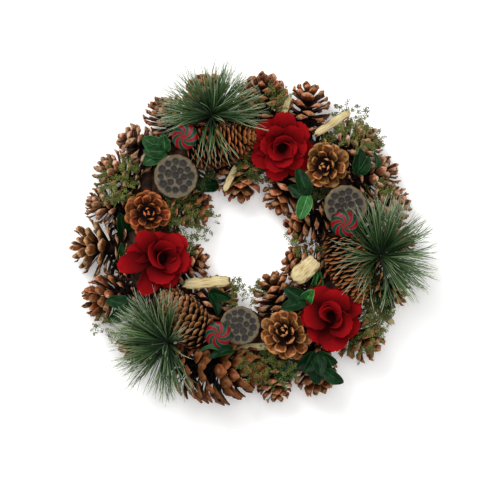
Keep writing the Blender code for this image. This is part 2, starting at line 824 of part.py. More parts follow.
def grow_needles(name, bm, diamonds, entry):
    """Grows a long needle from each diamond within the sweep, lifted clear of what lies below."""
    *_, first, sweep, length = entry
    draw = random.Random(name)
    own_blades = []
    base = sum((v.co for f, _ in diamonds for v in f.verts), Vector()) / (4 * len(diamonds))
    highest = max(row for _, row in diamonds)
    for face, row in sorted(diamonds, key=lambda d: d[1]):
        root = face.calc_center_median()
        out = root - base
        out.z = 0
        out.normalize()
        azimuth = math.degrees(math.atan2(out.y, out.x))
        if (azimuth - first) % 360 > sweep:
            continue
        lean = lerp(0, SPRAY_TOP_LEAN, (row - 1) / (highest - 1))
        lean += draw.uniform(-NEEDLE_LEAN_SPREAD, NEEDLE_LEAN_SPREAD)
        azimuth += draw.uniform(-NEEDLE_TURN_SPREAD, NEEDLE_TURN_SPREAD)
        reach = length * draw.uniform(NEEDLE_SHORTEST, 1.0)
        shapes = []
        for lift in NEEDLE_LIFTS:
            for aside in NEEDLE_ASIDES:
                direction = aim_vector(azimuth + aside, min(SPRAY_STEEPEST, lean + lift))
                shapes.append(blade(root, direction, UPWARD, reach, ((1.0, NEEDLE_TIP),), 2 * NEEDLE_TIP))
        grow_clear(bm, face, shapes, name, own_blades)
    remember(name, bm)


# Corners of a chip, as shares of its length and width.
CHIP_OUTLINE = (
    (-0.5, -0.42),
    (-0.12, -0.5),
    (0.36, -0.46),
    (0.5, -0.1),
    (0.43, 0.4),
    (0.05, 0.5),
    (-0.38, 0.38),
)
# How far a chip's corners wander, the size of its top face beside its bottom face, and its least thickness.
CHIP_JITTER = 0.04
CHIP_TOP = (0.95, 0.82)
CHIP_THINNEST = 0.75
# Height above the ring's top from which the small pieces are lowered.
HIGH_START = 44


def wood_chip(name, entry):
    """Split stick with a slanting break at each end."""
    x, y, azimuth, length, width, thickness = entry
    draw = random.Random(name)
    bm = bmesh.new()
    lower, upper = [], []
    turn = Matrix.Rotation(math.radians(azimuth), 4, "Z")
    for u, v in CHIP_OUTLINE:
        jitter = draw.uniform(-CHIP_JITTER, CHIP_JITTER)
        low = Vector((u * length, (v + jitter) * width, 0))
        top = thickness * draw.uniform(CHIP_THINNEST, 1.0)
        high = Vector((u * length * CHIP_TOP[0], (v * CHIP_TOP[1] + jitter) * width, top))
        place = Vector((x, y, RING_HEIGHT + HIGH_START))
        lower.append(bm.verts.new(turn @ low + place))
        upper.append(bm.verts.new(turn @ high + place))
    count = len(CHIP_OUTLINE)
    for i in range(count):
        bm.faces.new((lower[i], lower[(i + 1) % count], upper[(i + 1) % count], upper[i]))
    bm.faces.new(list(reversed(lower)))
    bm.faces.new(upper)
    bmesh.ops.triangulate(bm, faces=bm.faces)
    lower_onto(name, bm)
    return bm


# Stem joint: (height, radius). Leaf: share of the length, and half width as a share of the leaf's.
JOINT_ROWS = ((-6, 1.2), (-2.5, 2.0), (1.0, 2.0), (4.0, 1.2))
JOINT_AROUND = 6
LEAF_WIDTHS = ((0.16, 0.10), (0.48, 0.92), (0.78, 1.0), (1.0, 0.30))
LEAF_THICKNESS = 1.0
LEAF_CURL = -22
LEAF_CUP = 0.16
# Degrees by which a leaf is lifted in turn to clear its neighbours.
LEAF_LIFTS = (0, 8, 16, 24, 32)


def leaf_sprig(name, entry):
    """Joint of a stem with its leaves, laid on the cones."""
    x, y, leaves = entry
    at = Vector((x, y, RING_HEIGHT + HIGH_START))
    bm, diamonds, _ = lattice_body(frame_at(at, UPWARD), JOINT_ROWS, JOINT_AROUND)
    own_blades = []
    free = list(diamonds)
    for azimuth, elevation, length, width in leaves:
        direction = aim_vector(azimuth, elevation)
        best = max(free, key=lambda d: (d[0].calc_center_median() - at).normalized().dot(direction))
        free.remove(best)
        root = best[0].calc_center_median()
        widths = [(t, w * width / 2) for t, w in LEAF_WIDTHS]
        shapes = []
        for lift in LEAF_LIFTS:
            way = aim_vector(azimuth, elevation + lift)
            shapes.append(blade(root, way, UPWARD, length, widths, LEAF_THICKNESS, LEAF_CURL, LEAF_CUP))
        grow_clear(bm, best[0], shapes, name, own_blades)
    lower_onto(name, bm)
    return bm


MOSS_ROWS = ((-0.9, 0.3), (-0.6, 0.7), (-0.2, 0.92), (0.2, 0.92), (0.6, 0.7), (0.9, 0.3))
MOSS_AROUND = 9
# Size of the cushion below the stems, as shares of the tuft's half length, half width and half height.
MOSS_CUSHION = (0.62, 0.5, 0.6)
# How far a stem leans aside and upwards, its least and greatest length as shares of the half width, the half
# width of its tip and its thickness.
MOSS_ASIDE = 0.6
MOSS_RISE = 0.2
MOSS_LENGTHS = (0.7, 1.1)
MOSS_TIP = 0.8
MOSS_THICKNESS = 1.4
STEEP = 0.9
# Shares of the full length that a stem tries in turn, each in a direction of its own.
MOSS_TRIES = (1, 1, 1, 0.8, 0.8, 0.6, 0.6, 0.45)


def moss_tuft(name, entry):
    """Low cushion covered with short stems."""
    x, y, azimuth, half_length, half_width, half_height = entry
    at = Vector((x, y, RING_HEIGHT + HIGH_START))
    bm, diamonds, _ = lattice_body(Matrix.Identity(4), MOSS_ROWS, MOSS_AROUND)
    long, wide, high = MOSS_CUSHION
    stretch = Matrix.Diagonal((half_length * long, half_width * wide, half_height * high, 1))
    bm.transform(Matrix.Translation(at) @ Matrix.Rotation(math.radians(azimuth), 4, "Z") @ stretch)
    bm.normal_update()
    lower_onto(name, bm)
    draw = random.Random(name)
    own_blades = []
    for face, _ in diamonds:
        root = face.calc_center_median()
        shapes = []
        for share in MOSS_TRIES:
            aside = Vector([draw.uniform(-MOSS_ASIDE, MOSS_ASIDE) for _ in range(3)])
            out = (face.normal + aside + MOSS_RISE * UPWARD).normalized()
            up = UPWARD if abs(out.z) < STEEP else Vector((1, 0, 0))
            reach = half_width * draw.uniform(*MOSS_LENGTHS) * share
            shapes.append(blade(root, out, up, reach, ((1.0, MOSS_TIP),), MOSS_THICKNESS))
        grow_clear(bm, face, shapes, name, own_blades)
    remember(name, bm)
    return bm


def build():
    clear_scene()
    wreath = bpy.data.objects.new("wreath", None)
    wreath.location = (RING_MIDDLE[0] * MM, RING_MIDDLE[1] * MM, 0)
    bpy.context.scene.collection.objects.link(wreath)

    remember_floor()
    ring = vine_ring()
    remember("vine_ring", ring)
    pieces = [("vine_ring", ring, "vine")]

    for name, entry in LONG_CONES.items():
        pieces.append((name, long_cone(name, entry), "tan_cone"))

    growing = []
    for name, entry in ROSETTES.items():
        growing.append((name, *seated_on_ring(name, entry, ROSETTE_CORE, ROSETTE_AROUND), entry[-1]))
    for name, entry in PODS.items():
        pieces.append((name, lotus_pod(name, entry), "pod"))
    for name, entry in ROSES.items():
        pieces.append((name, rose(name, entry), "rose"))
    twigs = {name: spray_twig(name, entry) for name, entry in SPRAYS.items()}
    for name, bm, diamonds, axis, radius in growing:
        grow_scales(name, bm, diamonds, axis, radius, ROSETTE_SCALES, ROUNDED_WIDTHS)
        pieces.append((name, bm, "tan_cone"))
    for name, entry in SWEETS.items():
        pieces.append((name, swirl_sweet(name, entry), "sweet"))

    growing = [("cone_outer_12", *big_cone("cone_outer_12"), BIG_CONE[-1], BIG_SCALES)]
    for name, entry in {**OUTER_CONES, **INNER_CONES}.items():
        around = WIDE_AROUND if name in OUTER_CONES and entry[-1] > WIDE_RADIUS else OPEN_AROUND
        growing.append((name, *seated_on_ring(name, entry, OPEN_CORE, around), entry[-1], OPEN_SCALES))
    for name, bm, diamonds, axis, radius, scales in growing:
        grow_scales(name, bm, diamonds, axis, radius, scales, SCALE_WIDTHS)
        pieces.append((name, bm, "cone"))

    for name, entry in CHIPS.items():
        pieces.append((name, wood_chip(name, entry), "chip"))
    for name, entry in SPRIGS.items():
        pieces.append((name, leaf_sprig(name, entry), "leaf"))
    for name, entry in MOSS.items():
        pieces.append((name, moss_tuft(name, entry), "moss"))
    for name, (bm, diamonds) in twigs.items():
        grow_needles(name, bm, diamonds, SPRAYS[name])
        pieces.append((name, bm, "needle"))

    for name, bm, kind in pieces:
        to_object(name, bm, kind, wreath)


build()
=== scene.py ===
import math
import random
from functools import partial
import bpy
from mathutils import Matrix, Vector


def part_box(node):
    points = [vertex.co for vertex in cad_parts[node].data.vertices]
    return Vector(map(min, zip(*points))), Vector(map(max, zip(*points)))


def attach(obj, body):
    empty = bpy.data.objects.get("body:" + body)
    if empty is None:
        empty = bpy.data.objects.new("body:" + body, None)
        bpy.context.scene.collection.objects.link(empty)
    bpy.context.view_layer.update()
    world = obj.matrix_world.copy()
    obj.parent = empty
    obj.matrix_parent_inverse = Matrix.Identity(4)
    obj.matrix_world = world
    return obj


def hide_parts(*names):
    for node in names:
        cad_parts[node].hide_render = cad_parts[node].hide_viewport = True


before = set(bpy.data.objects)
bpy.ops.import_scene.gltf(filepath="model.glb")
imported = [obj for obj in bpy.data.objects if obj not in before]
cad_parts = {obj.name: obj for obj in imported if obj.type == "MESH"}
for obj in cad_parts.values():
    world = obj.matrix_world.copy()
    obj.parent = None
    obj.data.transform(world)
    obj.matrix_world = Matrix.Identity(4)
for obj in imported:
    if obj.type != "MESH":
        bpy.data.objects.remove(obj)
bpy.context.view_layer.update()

from types import SimpleNamespace

import bpy
from mathutils import Matrix, Vector
from mathutils.bvhtree import BVHTree

# Pinecone wreath lying on its back, seen from straight above.
# Sizes in the dictionaries are millimetres and degrees, and places are measured from the ring's middle.
mm = 0.001
ringMiddle = Vector((-11.5, -6.5, 0)) * mm
goldenTurn = math.radians(137.508)
fullTurn = 6.28
leastHalf = 0.02   # least half width of a drawn-out shape
up = Vector((0, 0, 1))
aboveAll = 0.3   # height from which the wreath is looked down at, in metres
seats = []   # (slot, surface) of each finished piece: later ones rest on them and keep clear of them


# small helpers
def linearColour(code):
    # sRGB hex to the linear numbers that the shaders take
    channels = [int(code[i:i + 2], 16) / 255 for i in (1, 3, 5)]
    return [c / 12.92 if c <= 0.04045 else ((c + 0.055) / 1.055) ** 2.4 for c in channels] + [1.0]


# the output that is read from a node with several
usualOutput = {"TexCoord": "Object", "Attribute": "Fac", "Mix": 2}


def addNode(tree, kind, *values, stops=(), **settings):
    # values go to the sockets in their order, and those in a dictionary to the sockets that it names.
    # A MapRange takes its value, the two ends it comes from and the two ends it goes to.
    node = tree.nodes.new("ShaderNode" + kind)
    for key, value in settings.items():
        setattr(node, key, value)
    sockets = {}
    for index, value in enumerate(values):
        sockets.update(value if isinstance(value, dict) else {index: value})
    for socket, value in sockets.items():
        if isinstance(value, bpy.types.NodeSocket):
            tree.links.new(value, node.inputs[socket])
        else:
            node.inputs[socket].default_value = value
    for index, (place, colour) in enumerate(stops):
        elements = node.color_ramp.elements
        stop = elements[index] if index < 2 else elements.new(place)
        stop.position = place
        stop.color = linearColour(colour)
    return node.outputs[usualOutput.get(kind, 0)]


def startMaterial(name, roughness, specular=0.5):
    # gives a function that adds nodes, and the material with its shader and the sockets that a look reads
    material = bpy.data.materials.new(name)
    material.use_nodes = True
    shader = material.node_tree.nodes["Principled BSDF"]
    shader.inputs["Roughness"].default_value = roughness
    shader.inputs["Specular IOR Level"].default_value = specular
    add = partial(addNode, material.node_tree)
    grain = add("UVMap", uv_map="grain")
    along = add("SeparateXYZ", grain)
    return add, SimpleNamespace(
        material=material, shader=shader, place=add("TexCoord"),
        grain=grain, along=along, across=along.node.outputs["Y"],
        upper=add("Attribute", attribute_name="upperSide"), tint=add("Attribute", attribute_name="tint"))


def endMaterial(add, read, colour, height=None, strength=0.0, depth=0.0):
    # depth is how high the bumps are, in mm
    links = read.material.node_tree.links
    links.new(colour, read.shader.inputs["Base Color"])
    if height:
        bump = add("Bump", {"Height": height, "Strength": strength, "Distance": depth * mm})
        links.new(bump, read.shader.inputs["Normal"])
    return read.material


def swing(draw, most):
    return draw.uniform(-most, most)


def curveAt(points, t):
    # straight lines between the points (place, value)
    for (t0, v0), (t1, v1) in zip(points, points[1:]):
        if t <= t1:
            return v0 + (v1 - v0) * max(0.0, t - t0) / (t1 - t0)
    return points[-1][1]


def aimVector(azimuth, elevation):
    a, e = math.radians(azimuth), math.radians(elevation)
    return Vector((math.cos(a) * math.cos(e), math.sin(a) * math.cos(e), math.sin(e)))


def frameAlong(origin, axis, roll=0.0, upward=None):
    # matrix whose X runs along the axis and whose Z is as near as it can be to upward
    x = axis.normalized()
    hint = upward if upward is not None else (up if abs(x.z) < 0.98 else Vector((0, 1, 0)))
    y = hint.cross(x).normalized()
    z = x.cross(y)
    turn = Matrix((x, y, z)).transposed().to_4x4()
    return Matrix.Translation(origin) @ turn @ Matrix.Rotation(roll, 4, "X")


def clearSelection():
    if bpy.context.mode != "OBJECT":
        bpy.ops.object.mode_set(mode="OBJECT")
    bpy.ops.object.select_all(action="DESELECT")


def drawOut(name, stations, sides):
    # a flat disc drawn out along X. A station is (x, half width in Y, half height in Z, shift in Z), in mm
    stations = [(x, max(wide, leastHalf), max(high, leastHalf), shift) for x, wide, high, shift in stations]
    clearSelection()
    x, wide, high, shift = stations[0]
    bpy.ops.mesh.primitive_circle_add(vertices=sides, radius=mm, fill_type="NGON", location=(0, 0, 0))
    piece = bpy.context.object
    piece.name = name
    bpy.ops.object.mode_set(mode="EDIT")
    bpy.ops.mesh.select_all(action="SELECT")
    bpy.ops.transform.resize(value=(high, wide, 1), center_override=(0, 0, 0))
    bpy.ops.transform.translate(value=(-shift * mm, 0, x * mm))
    for nextX, nextWide, nextHigh, nextShift in stations[1:]:
        bpy.ops.mesh.extrude_region_move(
            TRANSFORM_OT_translate={"value": ((shift - nextShift) * mm, 0, (nextX - x) * mm)})
        bpy.ops.transform.resize(
            value=(nextHigh / high, nextWide / wide, 1), center_override=(-nextShift * mm, 0, nextX * mm))
        x, wide, high, shift = nextX, nextWide, nextHigh, nextShift
    bpy.ops.mesh.select_all(action="SELECT")
    bpy.ops.mesh.normals_make_consistent(inside=False)
    bpy.ops.object.mode_set(mode="OBJECT")
    piece.data.transform(Matrix(((0, 0, 1, 0), (0, 1, 0, 0), (-1, 0, 0, 0), (0, 0, 0, 1))))
    bpy.ops.object.shade_smooth_by_angle(angle=math.radians(50))
    return piece


def mapStations(piece, stations):
    # UV: along the length, and across from edge to edge. Attribute upperSide: -1 below to 1 above
    mesh = piece.data
    length = stations[-1][0]
    wides = [(s[0], s[1]) for s in stations]
    highs = [(s[0], s[2]) for s in stations]
    shifts = [(s[0], s[3]) for s in stations]
    spots = []
    for vertex in mesh.vertices:
        x, y, z = vertex.co / mm
        spots.append((
            x / length,
            0.5 + 0.5 * max(-1, min(1, y / max(curveAt(wides, x), 0.05))),
            max(-1, min(1, (z - curveAt(shifts, x)) / max(curveAt(highs, x), 0.05)))))
    writeSpots(piece, spots)


def writeSpots(piece, spots):
    mesh = piece.data
    while mesh.uv_layers:
        mesh.uv_layers.remove(mesh.uv_layers[0])
    layer = mesh.uv_layers.new(name="grain")
    for loop in mesh.loops:
        layer.data[loop.index].uv = spots[loop.vertex_index][:2]
    upper = mesh.attributes.new("upperSide", "FLOAT", "POINT")
    upper.data.foreach_set("value", [s[2] for s in spots])
    tint = mesh.attributes.new("tint", "FLOAT", "POINT")
    tint.data.foreach_set("value", [0.5] * len(mesh.vertices))


def setAlong(piece, share):
    # the whole piece takes the look of that share of the length: the foot is the darkest
    for spot in piece.data.uv_layers["grain"].data:
        spot.uv = (share, spot.uv[1])


def thicken(piece, thickness):
    solid = piece.modifiers.new("wallThickness", "SOLIDIFY")
    solid.thickness = thickness * mm
    solid.offset = 0
    bpy.ops.object.modifier_apply(modifier=solid.name)
    bpy.ops.object.shade_smooth_by_angle(angle=math.radians(60))


def leanOut(around, foot, lean):
    # for a scale or a petal: its X points outwards, leant towards the tip, and its Z to the tip
    return (Matrix.Rotation(around, 4, "X") @ Matrix.Translation(foot) @ Matrix.Rotation(lean, 4, "Y")
            @ Matrix.Rotation(-math.pi / 2, 4, "Y") @ Matrix.Rotation(math.pi, 4, "X"))


def scaling(x, y, z):
    return Matrix.Diagonal((x, y, z, 1))


def placeCopy(source, matrix, tint, material=None):
    mesh = source.data.copy()
    mesh.transform(matrix)
    if matrix.determinant() < 0:
        mesh.flip_normals()
    mesh.attributes["tint"].data.foreach_set("value", [tint] * len(mesh.vertices))
    if material is not None:
        mesh.materials.clear()
        mesh.materials.append(material)
    copy = bpy.data.objects.new(source.name + "Copy", mesh)
    bpy.context.scene.collection.objects.link(copy)
    return copy


def joinParts(name, parts):
    clearSelection()
    for part in parts:
        part.select_set(True)
    bpy.context.view_layer.objects.active = parts[0]
    if len(parts) > 1:
        bpy.ops.object.join()
    piece = bpy.context.view_layer.objects.active
    piece.name = name
    piece.data.name = name
    return piece


def removeTemplate(*templates):
    for template in templates:
        bpy.data.objects.remove(template, do_unlink=True)


def finishPiece(name, parts, slotName):
    # a piece with the name of a CAD node takes that node's place
    nodes = [name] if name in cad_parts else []
    first, *others = name.split("_")
    piece = joinParts(first + "".join(word.capitalize() for word in others), parts)
    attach(piece, "root")
    if nodes:
        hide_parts(*nodes)
    mesh = piece.data
    mesh.calc_loop_triangles()
    surface = BVHTree.FromPolygons(
        [v.co.copy() for v in mesh.vertices], [tuple(t.vertices) for t in mesh.loop_triangles])
    seats.append((slotName, surface))


def surfaceHeight(x, y, fallback=0.02, keepOff=()):
    # height of whatever is built so far at a place, looking down, or None on a slot to keep off
    heights = [(fallback, "")]
    for slotName, surface in seats:
        hit = surface.ray_cast(Vector((x, y, aboveAll)), -up)[0]
        if hit is not None:
            heights.append((hit.z, slotName))
    high, slotName = max(heights)
    return None if slotName in keepOff else high


def isBlocked(start, end):
    way = end - start
    return any(surface.ray_cast(start, way.normalized(), way.length)[0] is not None for _, surface in seats)


def ringPlace(x, y, z=0.0):
    return ringMiddle + Vector((x, y, z)) * mm


# camera, floor and light
# frameWidth: what the picture shows from side to side at the aim. clip: in metres
cameraLook = {"aim": (-7.5, -15.5, 45), "distance": 3000, "frameWidth": 500, "sensor": 36, "clip": (0.1, 20)}
aim = Vector(cameraLook["aim"]) * mm
bpy.ops.object.camera_add(location=aim + up * cameraLook["distance"] * mm, rotation=(0, 0, 0))
camera = bpy.context.object
camera.data.sensor_width = cameraLook["sensor"]
camera.data.lens = cameraLook["sensor"] * cameraLook["distance"] / cameraLook["frameWidth"]
camera.data.clip_start, camera.data.clip_end = cameraLook["clip"]
bpy.context.scene.camera = camera

clearSelection()
bpy.ops.mesh.primitive_plane_add(size=6, location=(0, 0, -0.0005))
floor = bpy.context.object
floor.name = "floor"
# plain matt paper, lit from behind: hardly any shadow, as in the photo
paper = startMaterial("paleMattPaper", 0.9)[1]
paper.shader.inputs["Base Color"].default_value = linearColour("#fbfbfa")
paper.shader.inputs["Emission Color"].default_value = linearColour("#fbfbfa")
paper.shader.inputs["Emission Strength"].default_value = 0.18
floor.data.materials.append(paper.material)

# (place, size, power): a broad light as from a window at the upper left, a weaker one from the lower right,
# one from above, and an even sky
lightLook = {
    "keyLight": ((-0.8, 1.2, 1.8), 1.0, 40),
    "fillLight": ((1.2, -0.7, 1.3), 1.4, 6),
    "topLight": ((0.1, 0.2, 2.2), 1.2, 22),
}
for name, (place, size, power) in lightLook.items():
    bpy.ops.object.light_add(type="AREA", location=place)
    light = bpy.context.object
    light.name = name
    light.data.size = size
    light.data.energy = power
    light.rotation_euler = (aim - Vector(place)).to_track_quat("-Z", "Y").to_euler()
world = bpy.data.worlds.new("evenSky")
world.use_nodes = True
world.node_tree.nodes["Background"].inputs["Color"].default_value = linearColour("#ffffff")
world.node_tree.nodes["Background"].inputs["Strength"].default_value = 0.27
bpy.context.scene.world = world
bpy.context.scene.view_settings.view_transform = "Standard"
print("stage ready")


# woody cone scales
def coneMaterial(name, stem, inside, face, lip, worn, paintedShadeTo):
    # dry weathered pine cone scale: matte and fibrous, near black at its foot as painted shade deep between
    # the crowded scales, with a rubbed pale lip
    add, read = startMaterial(name, 0.78, 0.12)
    # blotches about 2.5 mm wide, and fibres about 0.4 mm wide that run along the scale
    blotch = add("TexNoise", {"Vector": read.place, "Scale": 400.0, "Detail": 3.0})
    stretch = add("Mapping", {"Vector": read.grain, "Scale": (2.2, 15.0, 1.0)})
    shifted = add("VectorMath", stretch, read.tint.node.outputs["Vector"], operation="ADD")
    fibre = add("TexNoise", {"Vector": shifted, "Scale": 1.6, "Detail": 4.0})
    wander = add("Math", blotch, 0.28, operation="MULTIPLY")
    along = add("Math", read.along, wander, operation="ADD")
    shareAlong = add("Math", along, 0.14, operation="SUBTRACT")
    # up to that share the scale keeps the near-black stem colour: painted shade where the scales crowd
    # together
    below = add("ValToRGB", shareAlong, stops=(
        (0.0, stem), (paintedShadeTo, stem), (paintedShadeTo + 0.24, face), (0.88, face), (0.98, lip)))
    above = add("ValToRGB", shareAlong, stops=(
        (0.0, stem), (paintedShadeTo, stem), (paintedShadeTo + 0.26, inside), (0.86, inside), (0.96, lip)))
    side = add("MapRange", read.upper, -0.1, 0.5)
    wood = add("Mix", side, {6: below, 7: above}, data_type="RGBA")
    # its side edges are paler too
    fromMiddle = add("Math", read.across, 0.5, operation="SUBTRACT")
    edge = add("Math", fromMiddle, operation="ABSOLUTE")
    edgeMask = add("MapRange", edge, 0.34, 0.48, 0, 0.85)
    outMask = add("MapRange", read.along, 0.4, 0.7)
    rimMask = add("Math", edgeMask, outMask, operation="MULTIPLY")
    rimmed = add("Mix", rimMask, {6: wood, 7: linearColour(lip)}, data_type="RGBA")
    # worn greyish spots at the ends
    spots = add("TexNoise", {"Vector": read.place, "Scale": 230.0, "Detail": 2.0})
    spotMask = add("MapRange", spots, 0.49, 0.62)
    tipMask = add("MapRange", read.along, 0.62, 0.95, 0, 0.75)
    wornMask = add("Math", spotMask, tipMask, operation="MULTIPLY")
    aged = add("Mix", wornMask, {6: rimmed, 7: linearColour(worn)}, data_type="RGBA")
    # each scale is a little lighter or darker, and so is each fibre
    ownValue = add("MapRange", read.tint, 0, 1, 0.72, 1.28)
    fibreValue = add("MapRange", fibre, 0.3, 0.7, 0.78, 1.15)
    value = add("Math", ownValue, fibreValue, operation="MULTIPLY")
    ownHue = add("MapRange", read.tint, 0, 1, 0.508, 0.492)
    coloured = add("HueSaturation", {"Hue": ownHue, "Value": value, "Color": aged})
    relief = add("Math", fibre, blotch, operation="ADD")
    return endMaterial(add, read, coloured, relief, 0.55, 0.6)


# stem (near black: painted shade deep between the scales), inside, face, lip, worn end, and the share of the
# length up to which the painted shade reaches
conePaints = {
    "weatheredRedConeScale": ("#110502", "#391808", "#6a3517", "#a56840", "#b89374", 0.38),
    "paleSplitConeScale": ("#140703", "#41210f", "#74472c", "#b3845f", "#c6ab94", 0.34),
    "dryTanConeScale": ("#180803", "#41210b", "#673c19", "#b58959", "#be9d7d", 0.36),
    "largeConeSpoon": ("#030100", "#230d03", "#592b0f", "#814823", "#845d3e", 0.5),
    "goldenConePetal": ("#170703", "#693915", "#7f4a1d", "#b37842", "#be8f66", 0.42),
    "russetConePetal": ("#150502", "#61270f", "#7d3515", "#ad602d", "#b6764c", 0.42),
    "openConePlate": ("#070201", "#48220d", "#81471e", "#996032", "#a17653", 0.42),
    "closedConeShingle": ("#080301", "#40200e", "#784825", "#9a6a43", "#a17958", 0.5),
}
coneFinish = {name: coneMaterial(name, *paint) for name, paint in conePaints.items()}

# scale shapes, drawn out from the foot: (along, half width, half thickness, shift up), in mm
scaleShapes = {
    "wedge": ((0, 3.2, 0.9, 0), (5, 3.9, 0.7, -0.2), (9.5, 5.0, 0.7, -0.2), (13, 6.2, 1.1, -0.4),
        (15.4, 5.9, 2.0, -0.7), (17.4, 3.4, 1.5, 0.2), (18.4, 0.8, 0.5, 0.9)),
    "finger": ((0, 2.4, 0.9, 0), (7, 3.0, 0.8, -0.4), (14, 4.1, 0.9, -0.6), (19.5, 4.9, 1.2, -0.5),
        (23, 4.2, 1.5, 0), (25.4, 2.4, 1.1, 0.8), (26.5, 0.8, 0.5, 1.3)),
    "spoon": ((0, 1.7, 1.1, 0), (9, 1.5, 0.9, -0.6), (13, 2.1, 0.9, -1.0), (16.5, 4.7, 1.4, -1.2),
        (20.4, 6.3, 2.3, 0.2), (24.4, 5.6, 2.7, 2.4), (27.2, 3.0, 1.9, 4.6), (28.4, 0.9, 0.9, 5.8)),
    "petal": ((0, 3.2, 0.9, 0), (5, 4.3, 0.8, -0.3), (10, 5.3, 0.9, 0), (14.5, 6.0, 1.4, 0.8),
        (17.5, 5.5, 1.9, 1.6), (19.3, 3.8, 1.6, 2.1), (20, 1.8, 0.8, 2.3)),
    "plate": ((0, 2.4, 0.6, 0), (5, 4.4, 0.5, -0.2), (9, 5.9, 0.6, -0.2), (12, 6.2, 1.1, -0.3),
        (13.8, 4.6, 1.4, 0.1), (14.8, 1.2, 0.7, 0.5)),
}
# how deep the upper face is hollowed, and how ragged the outline is, in mm
scaleHollow = {"wedge": (0.6, 0.35), "finger": (0.7, 0.8), "spoon": (0.9, 0.45), "petal": (1.1, 0.25),
    "plate": (0.3, 0.2)}
# where a scale is hollow, pointed and ragged: shares of its length and of its upper side, the point in mm
scaleWear = {
    "sides": 8, "variants": 4, "edgeThinner": 0.42, "upperFrom": 0.6, "hollowFrom": 0.2, "hollowTo": 0.9,
    "underFrom": -0.9, "pointFrom": 0.78, "pointDown": 0.9, "pointOut": 0.7,
    "raggedFrom": 0.4, "endFrom": 0.6, "raggedHigh": 0.4,
}


def modelScale(shapeName, variant):
    look = scaleWear
    stations = scaleShapes[shapeName]
    hollow, ragged = scaleHollow[shapeName]
    template = drawOut("%s%d" % (shapeName, variant), stations, look["sides"])
    mapStations(template, stations)
    draw = random.Random(variant * 7 + len(shapeName))
    shifts = [(station[0], station[3]) for station in stations]
    lean = swing(draw, 1)
    for vertex, side in zip(template.data.vertices, template.data.attributes["upperSide"].data):
        x, y, z = vertex.co / mm
        share = x / stations[-1][0]
        middle = curveAt(shifts, x)
        wide = max(0.1, curveAt([(station[0], station[1]) for station in stations], x))
        # thin edges, a hollow upper face and a small point under the end
        z = middle + (z - middle) * (1 - look["edgeThinner"] * min(1.0, abs(y / wide)))
        if side.value > look["upperFrom"] and look["hollowFrom"] < share < look["hollowTo"]:
            z -= hollow * side.value
        if side.value < look["underFrom"] and look["pointFrom"] < share < look["hollowTo"]:
            z -= look["pointDown"]
            x += look["pointOut"]
        # ragged from there on, the more the nearer to the end
        worn = share - look["raggedFrom"]
        if worn > 0:
            y += (swing(draw, 1) * ragged + lean * ragged * worn) * (look["raggedFrom"] + share)
            x += swing(draw, 1) * ragged * (share > look["endFrom"])
            z += swing(draw, 1) * ragged * look["raggedHigh"]
        vertex.co = Vector((x, y, z)) * mm
    return template


scaleTemplates = {
    shapeName: [modelScale(shapeName, variant) for variant in range(scaleWear["variants"])]
    for shapeName in scaleShapes}

